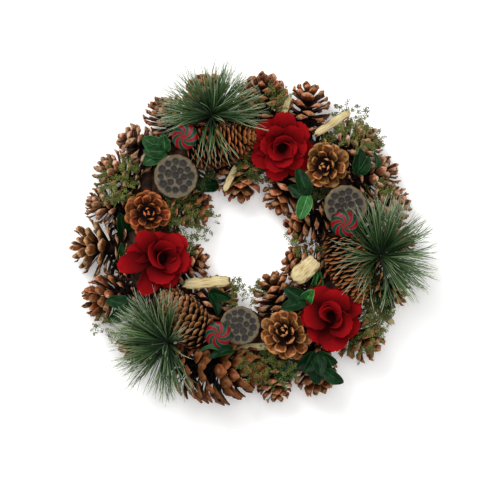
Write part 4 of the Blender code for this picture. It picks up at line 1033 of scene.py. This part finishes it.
sweetFinish = sweetMaterial()
sweetTemplate = modelSweet()
for node, (x, y, azimuth, tilt, turn) in sweetSeats.items():
    centre = ringPlace(x, y)
    centre.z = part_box(node)[0].z + sweetLook["seatRadius"] * mm * math.sin(math.radians(tilt))
    stand = frameAlong(centre, aimVector(azimuth, 90 - tilt), math.radians(turn))
    finishPiece(node, [placeCopy(sweetTemplate, stand, 0.5, sweetFinish)], "sweet")
removeTemplate(sweetTemplate)
print("sweets built")

for node, look in standingCones.items():
    dressCone(node, *look, "cone_tan")
print("standing cones built")

# open cones round the ring
# node: (aim azimuth, aim elevation, kind, finish)
red, tan, pale = "weatheredRedConeScale", "dryTanConeScale", "paleSplitConeScale"
openCones = {
    "cone_outer_12": (-4, 2, "big", "largeConeSpoon"),
    "cone_outer_01": (105, 18, "open", red), "cone_outer_02": (84, 34, "open", red),
    "cone_outer_03": (82, 8, "open", red), "cone_outer_04": (42, 18, "swept", pale),
    "cone_outer_05": (28, 12, "swept", pale), "cone_outer_06": (14, 8, "swept", pale),
    "cone_outer_07": (-2, 4, "swept", pale), "cone_outer_08": (-20, 10, "flared", tan),
    "cone_outer_09": (-41, 6, "open", red), "cone_outer_10": (-70, 4, "open", red),
    "cone_outer_11": (-78, 4, "open", red), "cone_outer_13": (221, 6, "open", red),
    "cone_outer_14": (200, 4, "swept", red), "cone_outer_15": (181, 3, "flared", tan),
    "cone_outer_16": (166, 0, "swept", pale), "cone_outer_17": (151, 10, "swept", pale),
    "cone_outer_18": (138, 16, "open", pale), "cone_outer_19": (121, 12, "swept", red),
    "cone_inner_01": (268, 6, "open", red), "cone_inner_02": (246, 6, "open", red),
    "cone_inner_03": (197, 4, "open", red), "cone_inner_04": (158, 4, "open", red),
    "cone_inner_05": (110, 6, "open", red), "cone_inner_06": (60, 4, "open", red),
    "cone_inner_07": (12, 6, "open", red), "cone_inner_08": (-34, 4, "open", red),
}
for node, look in openCones.items():
    dressCone(node, *look, "cone_brown")
for variants in scaleTemplates.values():
    removeTemplate(*variants)
print("open cones built")


# split wood
def chipMaterial():
    # split poplar stick: pale straight grain on the broken face, thin brown bark left along the sides
    add, read = startMaterial("splitPoplarStick", 0.78)
    stretch = add("Mapping", {"Vector": read.grain, "Scale": (1.6, 11.0, 1.0)})
    fibre = add("TexNoise", {"Vector": stretch, "Scale": 2.0, "Detail": 5.0})
    blotch = add("TexNoise", {"Vector": read.place, "Scale": 150.0, "Detail": 2.0})
    wood = add("ValToRGB", fibre, stops=(
        (0.28, "#6f5530"), (0.42, "#b29a68"), (0.55, "#cdbd8c"), (0.75, "#e2d7b0")))
    bark = add("ValToRGB", fibre, stops=((0.35, "#3c2817"), (0.6, "#84633d")))
    fromMiddle = add("Math", read.across, 0.5, operation="SUBTRACT")
    edge = add("Math", fromMiddle, operation="ABSOLUTE")
    wander = add("MapRange", blotch, 0.3, 0.7, -0.12, 0.14)
    rough = add("Math", edge, wander, operation="ADD")
    mask = add("MapRange", rough, 0.42, 0.5, 0, 0.9)
    whole = add("Mix", mask, {6: wood, 7: bark}, data_type="RGBA")
    return endMaterial(add, read, whole, fibre, 0.7, 0.8)


chipFinish = chipMaterial()
chipLook = {
    "bowScale": 6, "flatten": 0.82, "roughSide": 0.35, "roughTop": 0.25, "softEdge": 0.3,
    "soundHalf": 0.3, "splinter": 2.4,   # beyond that share from the middle the ends are splintered
}
# share of the length, then shares of the half width and half thickness, and how far that part bows up
chipShape = (
    (0, 0.5, 0.4, 0), (0.06, 0.74, 0.8, 0), (0.16, 0.9, 1.0, 0.05), (0.3, 1.0, 1.0, 0.1),
    (0.5, 0.94, 0.9, 0.15), (0.68, 1.0, 1.0, 0.1),
    (0.84, 0.92, 0.9, 0.05), (0.95, 0.8, 0.7, 0), (1.0, 0.6, 0.4, 0))
# node or name: (x, y, azimuth, length, width, thickness, bow, height above what it lies on).
# The height is None where the node has its own.
chipSeats = {
    "wood_chip_top": (-16, 62, 66, 26, 7, 4, 0, None),
    "wood_chip_left": (-39, -41.5, 4, 46, 12, 6, 1, None),
    "wood_chip_right": (59, -29, 42, 29, 20, 7, 0, None),
    "wood_chip_outer": (86, 117.5, 33, 40, 9, 5, 1, None),
    "woodChipBottom": (5, -106, 2, 40, 8, 3.5, 3, 0.5),
    "woodChipCrown": (40, 134, 68, 20, 7, 4, 0, 0.5),
    "woodChipEdge": (136, -72, -44, 33, 7, 3.5, 1, 0.5),
    "woodChipSide": (-136, 40, 28, 17, 5, 3, 1, 0.5),
}


def buildChip(name, entry):
    x, y, azimuth, length, width, thick, bow, above = entry
    draw = random.Random(name)
    look = chipLook
    stations = [(t * length, w * width / 2, h * thick / 2, b * bow * look["bowScale"]) for t, w, h,
        b in chipShape]
    chip = drawOut(name + "Stick", stations, 12)
    mapStations(chip, stations)
    for vertex in chip.data.vertices:
        # split faces are flat on top and splintered at the ends
        t = vertex.co.x / (length * mm)
        if vertex.co.z > 0.5 * thick / 2 * mm:
            vertex.co.z = vertex.co.z * look["flatten"]
        splinter = max(0.0, abs(t - 0.5) - look["soundHalf"]) / (0.5 - look["soundHalf"])
        vertex.co.x += swing(draw, 1) * splinter * look["splinter"] * mm
        vertex.co.y += swing(draw, look["roughSide"]) * mm
        vertex.co.z += swing(draw, look["roughTop"]) * mm
    middle = ringPlace(x, y)
    if above is None:
        low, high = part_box(name)
        middle.z = (low.z + high.z) / 2
    else:
        middle.z = surfaceHeight(middle.x, middle.y) + (thick / 2 + above) * mm
    axis = aimVector(azimuth, 0)
    matrix = frameAlong(middle - axis * length / 2 * mm, axis)
    piece = placeCopy(chip, matrix, draw.random(), chipFinish)
    bpy.context.view_layer.objects.active = piece
    rounded = piece.modifiers.new("softEdges", "BEVEL")
    rounded.width = look["softEdge"] * mm
    rounded.segments = 1
    bpy.ops.object.modifier_apply(modifier=rounded.name)
    removeTemplate(chip)
    finishPiece(name, [piece], "chip")


for name, entry in chipSeats.items():
    buildChip(name, entry)
print("split wood built")


# leaves
def leafMaterial():
    # preserved box leaves: waxy dark green with a pale rim, a pale midrib and faint side veins
    add, read = startMaterial("waxedGreenLeaf", 0.5, 0.12)
    fromMiddle = add("Math", read.across, 0.5, operation="SUBTRACT")
    side = add("Math", fromMiddle, operation="ABSOLUTE")
    green = add("ValToRGB", read.tint, stops=(
        (0.0, "#041506"), (0.45, "#08270e"), (0.8, "#1f4220"), (1.0, "#2a6a2c")))
    blotch = add("TexNoise", {"Vector": read.place, "Scale": 170.0, "Detail": 3.0})
    shade = add("MapRange", blotch, 0.3, 0.7, 0.55, 1.4)
    varied = add("HueSaturation", {"Value": shade, "Color": green})
    # side veins about 3 mm apart that slant forward
    slant = add("Math", side, 0.55, operation="MULTIPLY")
    forward = add("Math", read.along, slant, operation="SUBTRACT")
    repeats = add("Math", forward, 8.0, operation="MULTIPLY")
    saw = add("Math", repeats, 1.0, operation="PINGPONG")
    veinMask = add("MapRange", saw, 0.0, 0.12, 0.22, 0.0)
    midrib = add("MapRange", side, 0.018, 0.04, 0.6, 0.0)
    rim = add("MapRange", side, 0.455, 0.485, 0.0, 0.75)
    lines = add("Math", midrib, rim, operation="MAXIMUM")
    allLines = add("Math", lines, veinMask, operation="MAXIMUM")
    pale = add("HueSaturation", {"Hue": 0.485, "Saturation": 0.85, "Value": 3.8, "Color": varied})
    leaf = add("Mix", allLines, {6: varied, 7: pale}, data_type="RGBA")
    return endMaterial(add, read, leaf, allLines, 0.4, 0.4)


leafFinish = leafMaterial()


leafRule = {
    "length": 27, "halfWidth": 8, "thickness": 0.55, "blunt": 0.52, "crumple": (0.55, 0.4),
    "checkFrom": 0.15, "checkTo": 1.05, "checkSides": (-1.3, -0.7, 0, 0.7, 1.3), "sideShare": 0.35,
    "lifts": range(0, 48, 6), "width": 16, "stalk": 6, "aboveGround": 0.5,
}


def modelLeaf(name, curl, cup):
    # a grid shaped point by point: an oval blade, folded along its midrib and bowed from end to end
    rule = leafRule
    clearSelection()
    bpy.ops.mesh.primitive_grid_add(x_subdivisions=12, y_subdivisions=8, size=1, location=(0, 0, 0))
    leaf = bpy.context.object
    leaf.name = name
    spots = []
    for vertex in leaf.data.vertices:
        t, s = vertex.co.x + 0.5, vertex.co.y * 2
        wide = math.sin(math.pi * min(1.0, t ** 0.9 * 0.955 + 0.04)) ** rule["blunt"]
        x = rule["length"] * t
        y = rule["halfWidth"] * s * wide
        broad, fine = rule["crumple"]
        crumple = broad * math.sin(7 * t + 3 * s) + fine * math.sin(13 * t - 5 * s + curl) * abs(s)
        z = cup * abs(s) ** 1.4 * wide - curl * (t - 0.25) ** 2 + crumple
        vertex.co = Vector((x, y, z)) * mm
        spots.append((t, 0.5 + s / 2, 1.0))
    writeSpots(leaf, spots)
    thicken(leaf, rule["thickness"])
    return leaf


leafTemplates = [modelLeaf("leafFlat", 4, 1.6), modelLeaf("leafBowed", 12, 2.6),
    modelLeaf("leafRolled", 22, 4.0)]

# node: (x, y, [(azimuth, elevation, length, width, roll, brightness), ...])
leafSprigs = {
    "leaf_sprig_upper_left": (-80, 89, [
        (150, 16, 27, 18, 0, 0.75), (205, 14, 25, 17, 10, 0.7), (100, 34, 20, 13, -14, 0.8),
        (178, 28, 22, 15, 0, 0.62)]),
    "leaf_sprig_lower_left": (-112, -64, [(170, 12, 28, 15, 8, 0.45), (215, 10, 30, 15, -8, 0.5)]),
    "leaf_sprig_hole": (-36, -51, [(-18, 14, 25, 13, 30, 0.4), (-62, 12, 24, 12, -30, 0.35)]),
    "leaf_sprig_inner_right": (60, -60, [
        (150, 20, 25, 15, 0, 0.4), (195, 14, 27, 14, 20, 0.45), (70, 26, 20, 14, -20, 0.95)]),
    "leaf_sprig_lower_right": (70, -112, [
        (-60, 10, 28, 17, 10, 0.3), (-92, 8, 30, 18, 16, 0.2), (-140, 12, 26, 15, -16, 0.1),
        (-30, 16, 22, 14, 22, 0.4), (-75, 26, 24, 15, -8, 0.35), (-115, 26, 22, 13, -24, 0.3)]),
    "leaf_sprig_upper_right": (62, 46, [
        (112, 18, 28, 15, 10, 0.4), (-110, 14, 26, 15, 0, 0.9), (160, 8, 21, 13, -10, 0.35)]),
    "leaf_sprig_right": (112, 66, [(85, 22, 27, 15, 20, 0.4), (50, 30, 22, 11, 40, 0.55)]),
}
# leaves that lie loose between the cones: (x, y, azimuth, elevation, length, width, roll, brightness, shape)
looseLeaves = [
    (-28, 58, 188, 4, 30, 17, 10, 0.35, 1), (-122, 2, 96, 6, 33, 15, 24, 0.3, 1),
    (-133, -22, 38, 12, 24, 12, 62, 0.7, 2), (-12, -108, 184, 4, 26, 11, 30, 0.45, 2),
    (-26, -110, 150, 16, 18, 8, 60, 0.6, 2), (69, -46, 62, 22, 18, 13, 30, 1.0, 2),
    (138, -49, -84, 2, 28, 18, 8, 0.25, 1), (-1, 123, 38, 6, 28, 18, 4, 0.4, 0),
    (-48, 50, 230, 8, 22, 13, 20, 0.3, 1), (128, 72, 70, 20, 17, 7, 60, 0.6, 2),
    (78, -128, -40, 8, 22, 14, 20, 0.45, 1), (50, -126, -150, 6, 22, 14, 12, 0.4, 1),
]


def placeLeaf(foot, template, azimuth, elevation, length, width, roll, brightness):
    # lifted in steps until it clears what is under it
    rule = leafRule
    across = aimVector(azimuth + 90, 0) * width * rule["sideShare"] * mm
    for lift in rule["lifts"]:
        way = aimVector(azimuth, elevation + lift) * length * mm
        if not any(
                isBlocked(foot + way * rule["checkFrom"] + across * side,
                foot + way * rule["checkTo"] + across * side)
                for side in rule["checkSides"]):
            break
    size = scaling(length / rule["length"], width / rule["width"], 1)
    return placeCopy(template, frameAlong(foot, way, math.radians(roll)) @ size, brightness, leafFinish)


jointStations = ((0, 0.6, 0.6, 0), (3, 1.1, 1.1, 0), (7, 1.2, 1.2, 0), (9, 0.6, 0.6, 0))
joint = drawOut("leafJoint", jointStations, 8)
mapStations(joint, jointStations)
for node, (x, y, leaves) in leafSprigs.items():
    foot = ringPlace(x, y)
    foot.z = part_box(node)[0].z + leafRule["stalk"] * mm
    parts = [placeCopy(joint, frameAlong(foot - up * leafRule["stalk"] * mm, up), 0.3, leafFinish)]
    for index, leaf in enumerate(leaves):
        parts.append(placeLeaf(foot, leafTemplates[(index + len(leaves)) % 2], *leaf))
    finishPiece(node, parts, "leaf")
for index, (x, y, *leaf, shape) in enumerate(looseLeaves):
    foot = ringPlace(x, y)
    foot.z = surfaceHeight(foot.x, foot.y) + leafRule["aboveGround"] * mm
    finishPiece("looseLeaf%02d" % (index + 1), [placeLeaf(foot, leafTemplates[shape], *leaf)], "leaf")
removeTemplate(joint, *leafTemplates)
print("leaves built")


# moss
def mossMaterial():
    # preserved moss fern: dull olive beads on wiry brown stems, darker inside the tuft
    add, read = startMaterial("preservedMoss", 0.8)
    blotch = add("TexNoise", {"Vector": read.place, "Scale": 900.0, "Detail": 2.0})
    green = add("ValToRGB", read.tint, stops=(
        (0.0, "#38431a"), (0.4, "#5c6828"), (0.75, "#7f8838"), (1.0, "#a5a45c")))
    stem = add("Mix", read.upper, {6: linearColour("#3d2c18"), 7: green}, data_type="RGBA")
    shade = add("MapRange", blotch, 0.3, 0.7, 0.65, 1.3)
    varied = add("HueSaturation", {"Value": shade, "Color": stem})
    return endMaterial(add, read, varied)


mossFinish = mossMaterial()
mossLook = {
    # sprig: leaflets start at that share of the stem
    "length": 14, "joints": 5, "stemHalf": 0.28, "stemTaper": 0.03, "stemWave": 1.3, "sides": 3,
    "leaflets": 22, "leafletSize": 0.8, "leafletFrom": 0.22, "leafletTurn": 137, "away": (1.0, 2.7),
    "leafletShape": (1.15, 0.85, 0.45), "leafletSizes": (0.7, 1.25), "variants": 4,
    # patch: sprigs start below the surface, and keep off the showpieces
    "sunk": 2, "lowest": 6, "ground": 0.03, "stray": 0.6, "leastRise": 0.35, "rises": (0.3, 1.0),
    "sizes": (0.7, 1.1), "keepOff": ("rose", "seed_pod", "sweet", "cone_tan", "chip"),
}


def modelMossSprig(name, seed):
    # a wiry stem with a bead of a leaflet at each side in turn
    look = mossLook
    draw = random.Random(seed)
    length = look["length"]
    stations = []
    for i in range(look["joints"] + 1):
        half = look["stemHalf"] - look["stemTaper"] * i
        stations.append((length * i / look["joints"], half, half,
            look["stemWave"] * math.sin(i * 1.3 + seed)))
    shifts = [(station[0], station[3]) for station in stations]
    stem = drawOut(name, stations, look["sides"])
    writeSpots(stem, [(0.5, 0.5, 0.0)] * len(stem.data.vertices))
    clearSelection()
    bpy.ops.mesh.primitive_uv_sphere_add(segments=4, ring_count=3, radius=look["leafletSize"] * mm)
    leaflet = bpy.context.object
    writeSpots(leaflet, [(0.5, 0.5, 1.0)] * len(leaflet.data.vertices))
    parts = [stem]
    first = look["leafletFrom"]
    for i in range(look["leaflets"]):
        t = first + (1 - first) * (i + draw.random() * 0.6) / look["leaflets"]
        side = math.radians(look["leafletTurn"] * i)
        away = draw.uniform(*look["away"]) * (1.15 - 0.6 * t)
        height = away * math.sin(side) + curveAt(shifts, t * length)
        spot = Vector((t * length, away * math.cos(side), height)) * mm
        big = draw.uniform(*look["leafletSizes"])
        turned = Matrix.Rotation(draw.uniform(0, 6.3), 4, Vector((draw.random(), draw.random(), 1)))
        size = scaling(*(part * big for part in look["leafletShape"]))
        parts.append(placeCopy(leaflet, Matrix.Translation(spot) @ turned @ size, 0.5))
    removeTemplate(leaflet)
    return joinParts(name, parts)


mossSprigs = [modelMossSprig("mossSprig%d" % seed, seed) for seed in range(mossLook["variants"])]

# node or name: list of (x, y, spread in x, spread in y, turn, number of sprigs, how far up they lean,
# brightness)
mossTufts = {
    "moss_left": [(-63, 24, 30, 15, 105, 120, 0.6, 0.40), (-66, -6, 14, 10, 95, 34, 0.5, 0.36)],
    "moss_bottom": [(22, -127, 27, 12, -8, 105, 0.6, 0.42)],
    "moss_right": [(122, -88, 26, 13, 60, 100, 0.6, 0.46)],
    "mossCrown": [(24, 139, 15, 10, 20, 56, 0.7, 0.44)],
    "mossInside": [(3, 76, 13, 11, 60, 60, 0.7, 0.40)],
    "mossUpperRight": [(104, 128, 8, 15, 80, 38, 1.0, 0.5), (112, 106, 22, 9, -25, 84, 0.6, 0.5),
        (86, 112, 12, 6, 40, 26, 0.5, 0.4)],
    "mossRight": [(128, 44, 13, 9, 30, 46, 0.6, 0.44)],
    "mossLeftEdge": [(-128, 60, 20, 13, 60, 92, 0.6, 0.55)],
    "mossHoleLeft": [(-36, 18, 8, 6, 90, 12, 1.0, 0.45)],
    "mossHoleRight": [(47, -4, 9, 5, 150, 14, 1.0, 0.5)],
    "mossHoleBottom": [(-10, -52, 11, 6, 90, 26, 1.2, 0.5), (6, -52, 5, 5, 90, 12, 1.4, 0.55)],
    "mossLowerLeft": [(-142, -86, 12, 8, 160, 24, 0.7, 0.5)],
    "mossLowerRight": [(130, -72, 8, 6, 20, 18, 0.7, 0.5)],
    # near-black moss tufts that fill the gaps between the inner cones: painted shade
    "mossInnerGaps": [(-46, 64, 10, 6, 40, 26, 0.3, 0.1), (19, 66, 9, 6, -30, 24, 0.3, 0.1),
        (80, 42, 7, 10, 80, 26, 0.3, 0.1), (70, -14, 6, 9, 90, 18, 0.3, 0.1)],
    # dark moss under the right spray: painted shade
    "mossUnderSpray": [(121, -50, 12, 16, 70, 46, 0.5, 0.2)],
}


def buildMoss(name, patches):
    look = mossLook
    draw = random.Random(name)
    parts = []
    for x, y, spreadX, spreadY, turn, count, rise, brightness in patches:
        turnX, turnY = math.cos(math.radians(turn)), math.sin(math.radians(turn))
        for _ in range(count):
            a, r = draw.uniform(0, 2 * math.pi), math.sqrt(draw.random())
            dx, dy = r * spreadX * math.cos(a), r * spreadY * math.sin(a)
            shiftX, shiftY = dx * turnX - dy * turnY, dx * turnY + dy * turnX
            foot = ringPlace(x + shiftX, y + shiftY)
            high = surfaceHeight(foot.x, foot.y, look["ground"], look["keepOff"])
            if high is None:
                continue
            foot.z = max(look["lowest"] * mm, high - look["sunk"] * mm)
            stray = Vector((swing(draw, look["stray"]), swing(draw, look["stray"]), 0))
            outward = Vector((shiftX, shiftY, 0)) / max(spreadX, spreadY) + stray
            way = outward + up * (look["leastRise"] + rise * draw.uniform(*look["rises"]))
            size = draw.uniform(*look["sizes"])
            matrix = frameAlong(foot, way, draw.uniform(0, fullTurn)) @ scaling(size, size, size)
            # brighter towards the middle of the patch and darker at its edges: painted light on the tuft's
            # crown, painted shade at its rim
            depth = 0.5 * (1 - r) + 0.5 * draw.random()
            tint = max(0.0, min(1.0, brightness + 0.5 * (depth - 0.5)))
            parts.append(placeCopy(draw.choice(mossSprigs), matrix, tint, mossFinish))
    finishPiece(name, parts, "moss")


buildTendrils()
for name, patches in mossTufts.items():
    buildMoss(name, patches)
removeTemplate(*mossSprigs)
print("moss built")


# needle sprays
def needleMaterial():
    # soft plastic pine needles: satin, dark green at the foot, olive along them, greyer at the ends
    add, read = startMaterial("softPlasticNeedle", 0.48, 0.25)
    along = add("ValToRGB", read.along, stops=(
        (0.0, "#060d06"), (0.28, "#1b3317"), (0.7, "#49633a"), (1.0, "#9ba488")))
    ownHue = add("MapRange", read.tint, 0, 1, 0.53, 0.475)
    ownValue = add("MapRange", read.tint, 0, 1, 0.35, 1.8)
    varied = add("HueSaturation", {"Hue": ownHue, "Value": ownValue, "Color": along})
    return endMaterial(add, read, varied)


needleFinish = needleMaterial()
# each bends its own way: (along, half width, half thickness, shift up), in mm
needleShapes = [
    ((0, 0.48, 0.42, 0), (15, 0.46, 0.40, 0.9), (32, 0.42, 0.36, 0.6), (48, 0.32, 0.28, -1.8),
    (60, 0.10, 0.10, -5.0)),
    ((0, 0.48, 0.42, 0), (15, 0.46, 0.40, -0.2), (32, 0.42, 0.36, -2.2), (48, 0.32, 0.28, -6.6),
    (60, 0.10, 0.10, -12.0)),
    ((0, 0.46, 0.42, 0), (20, 0.44, 0.38, 1.2), (40, 0.36, 0.32, 1.9), (60, 0.10, 0.10, 1.4)),
    ((0, 0.48, 0.42, 0), (20, 0.46, 0.38, 2.6), (40, 0.40, 0.32, 3.4), (60, 0.10, 0.10, 0.8)),
]
needleTemplates = []
for index, stations in enumerate(needleShapes):
    template = drawOut("needle%d" % index, stations, 3)
    mapStations(template, stations)
    needleTemplates.append(template)

twigLook = {
    # twig: from a foot on the ring's side to the CAD twig's place
    "length": 20.8, "footAngle": 30, "footSunk": 2, "ringHalfWidth": 19, "ringHeight": 34, "moreUpright": 2.2,
    "stations": ((0, 1.5, 1.5, 0), (4, 1.8, 1.8, 0), (12, 1.6, 1.6, 0), (18, 1.2, 1.2, 0), (20, 0.5, 0.5, 0)),
    "sides": 8, "drawnLength": 20, "overlap": 1, "branchLength": 11, "branchStarts": (2, 9),
    # bundles along a side twig: from where, how far they turn up and aside
    "bundles": 8, "along": (-0.3, 1), "above": (-12, 26), "spread": 46, "elevationShare": 0.4,
    "needles": 5, "needleLength": 60, "longer": (0.74, 1.0), "tilt": 4, "turn": 7, "roll": 85,
    "lifts": range(0, 45, 5), "bends": (0.8, 1.5), "checkFrom": 6, "checkBelow": 4,
    # bundles that stand up and hide the twigs' meeting
    "upBundles": 7, "upElevations": (34, 70), "upTurn": 16, "upTilt": 8, "upStarts": (4, 12),
        "upLengths": (0.5, 0.86),
}
# azimuth and half width of the sector that is kept open, so that a sweet shows
openSectors = {"needle_spray_top": (221, 19), "needle_spray_right": (141, 7)}
# node: (hub x, y, needle length, side twigs as (azimuth, elevation, bundle share))
needleSprays = {
    "needle_spray_top": (-34, 125, 61, (
        (172, 12, 1.3), (140, 20, 1.2), (104, 8, 0.9), (62, 12, 0.9), (24, 10, 1.1), (352, 6, 0.8),
        (196, 8, 0.9), (285, 2, 0.6), (250, 2, 0.25), (155, 38, 0.7), (40, 34, 0.5))),
    "needle_spray_right": (134, -15, 66, (
        (15, 8, 1.0), (335, 8, 1.1), (55, 16, 1.1), (90, 10, 1.0), (135, 12, 0.9), (175, 6, 0.7),
        (225, 4, 0.6), (285, 6, 1.0), (310, 26, 0.7), (75, 36, 0.6), (20, 34, 0.5))),
    "needle_spray_left": (-77, -101, 66, (
        (150, 12, 1.2), (178, 8, 1.0), (120, 18, 1.1), (208, 8, 1.1), (240, 10, 1.1), (275, 6, 0.9),
        (95, 14, 0.9), (160, 34, 0.7), (225, 30, 0.6))),
}


def twigMiddle(node):
    # most of the CAD node's points are on its twig
    points = [v.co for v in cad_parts[node].data.vertices]
    middle = Vector([sorted(p[i] for p in points)[len(points) // 2] for i in range(3)])
    for _ in range(12):
        near = [p for p in points if (p - middle).length < 15 * mm]
        middle = sum(near, Vector()) / len(near)
    return middle


def isOpen(node, azimuth):
    middle, half = openSectors.get(node, (0, 0))
    return abs((azimuth - middle + 180) % 360 - 180) < half


def buildTwigs(node, hub):
    # gives the twig's lowest point, its direction, its pieces and the template of a side twig
    look = twigLook
    x, y = needleSprays[node][:2]
    angle, tube = math.atan2(y, x), math.radians(look["footAngle"])
    out = ringLook["radius"] + look["ringHalfWidth"] * math.cos(tube) - look["footSunk"]
    high = look["ringHeight"] / 2 * (1 + math.sin(tube)) - look["footSunk"]
    foot = ringPlace(out * math.cos(angle), out * math.sin(angle), high)
    upright = ((hub - foot).normalized() + look["moreUpright"] * up).normalized()
    twig = drawOut(node + "Twig", look["stations"], look["sides"])
    mapStations(twig, look["stations"])
    sideTwig = placeCopy(twig, Matrix.Identity(4), 0.5)
    setAlong(sideTwig, 0.06)
    bottom = hub - upright * look["length"] / 2 * mm
    longer = (bottom - foot).length / ((look["drawnLength"] - look["overlap"]) * mm)
    parts = [
        placeCopy(twig, frameAlong(bottom, upright) @ scaling(0.7, 1, 1), 0.2, vineFinish),
        placeCopy(twig, frameAlong(foot, bottom - foot) @ scaling(longer, 1, 1), 0.1, vineFinish)]
    removeTemplate(twig)
    return bottom, upright, parts, sideTwig


def buildSpray(node):
    length, branches = needleSprays[node][2:]
    look = twigLook
    bottom, upright, parts, sideTwig = buildTwigs(node, twigMiddle(node))
    draw = random.Random(node)
    for azimuth, elevation, share in branches:
        start = bottom + upright * draw.uniform(*look["branchStarts"]) * mm
        way = aimVector(azimuth, elevation)
        thin = scaling(look["branchLength"] / look["drawnLength"], 0.6, 0.6)
        parts.append(placeCopy(sideTwig, frameAlong(start, way) @ thin, 0.2, needleFinish))
        for _ in range(round(look["bundles"] * share)):
            # a bundle leaves the side twig at one point, all its needles nearly the same way
            t = draw.uniform(*look["along"])
            root = start + way * look["branchLength"] * t * mm
            aside = look["spread"] * (1.1 - 0.6 * t) * swing(draw, 1)
            above = draw.uniform(*look["above"])
            if isOpen(node, azimuth + aside):
                continue
            for _ in range(look["needles"]):
                nearer = look["branchLength"] * t * math.cos(math.radians(aside))
                longer = length * draw.uniform(*look["longer"]) - nearer
                tilt, turn = swing(draw, look["tilt"]), swing(draw, look["turn"])
                for lift in look["lifts"]:
                    rise = elevation * look["elevationShare"] + above + tilt + lift
                    course = aimVector(azimuth + aside + turn, rise)
                    tip = root + course * longer * mm - up * look["checkBelow"] * mm
                    if not isBlocked(root + course * look["checkFrom"] * mm, tip):
                        break
                place = frameAlong(root, course, math.radians(swing(draw, look["roll"])))
                size = scaling(longer / look["needleLength"], 1, draw.uniform(*look["bends"]))
                parts.append(placeCopy(draw.choice(needleTemplates), place @ size, draw.random(),
                    needleFinish))
    for _ in range(look["upBundles"]):
        azimuth, elevation = draw.uniform(0, 360), draw.uniform(*look["upElevations"])
        if isOpen(node, azimuth):
            continue
        for _ in range(look["needles"]):
            course = aimVector(azimuth + swing(draw, look["upTurn"]), elevation + swing(draw, look["upTilt"]))
            root = bottom + upright * draw.uniform(*look["upStarts"]) * mm
            place = frameAlong(root, course, swing(draw, 1))
            size = scaling(draw.uniform(*look["upLengths"]), 1, 1)
            parts.append(placeCopy(draw.choice(needleTemplates), place @ size, draw.random(), needleFinish))
    removeTemplate(sideTwig)
    finishPiece(node, parts, "needle")


for node in needleSprays:
    buildSpray(node)
removeTemplate(*needleTemplates)
removeTemplate(*petalTemplates.values())
print("needle sprays built")
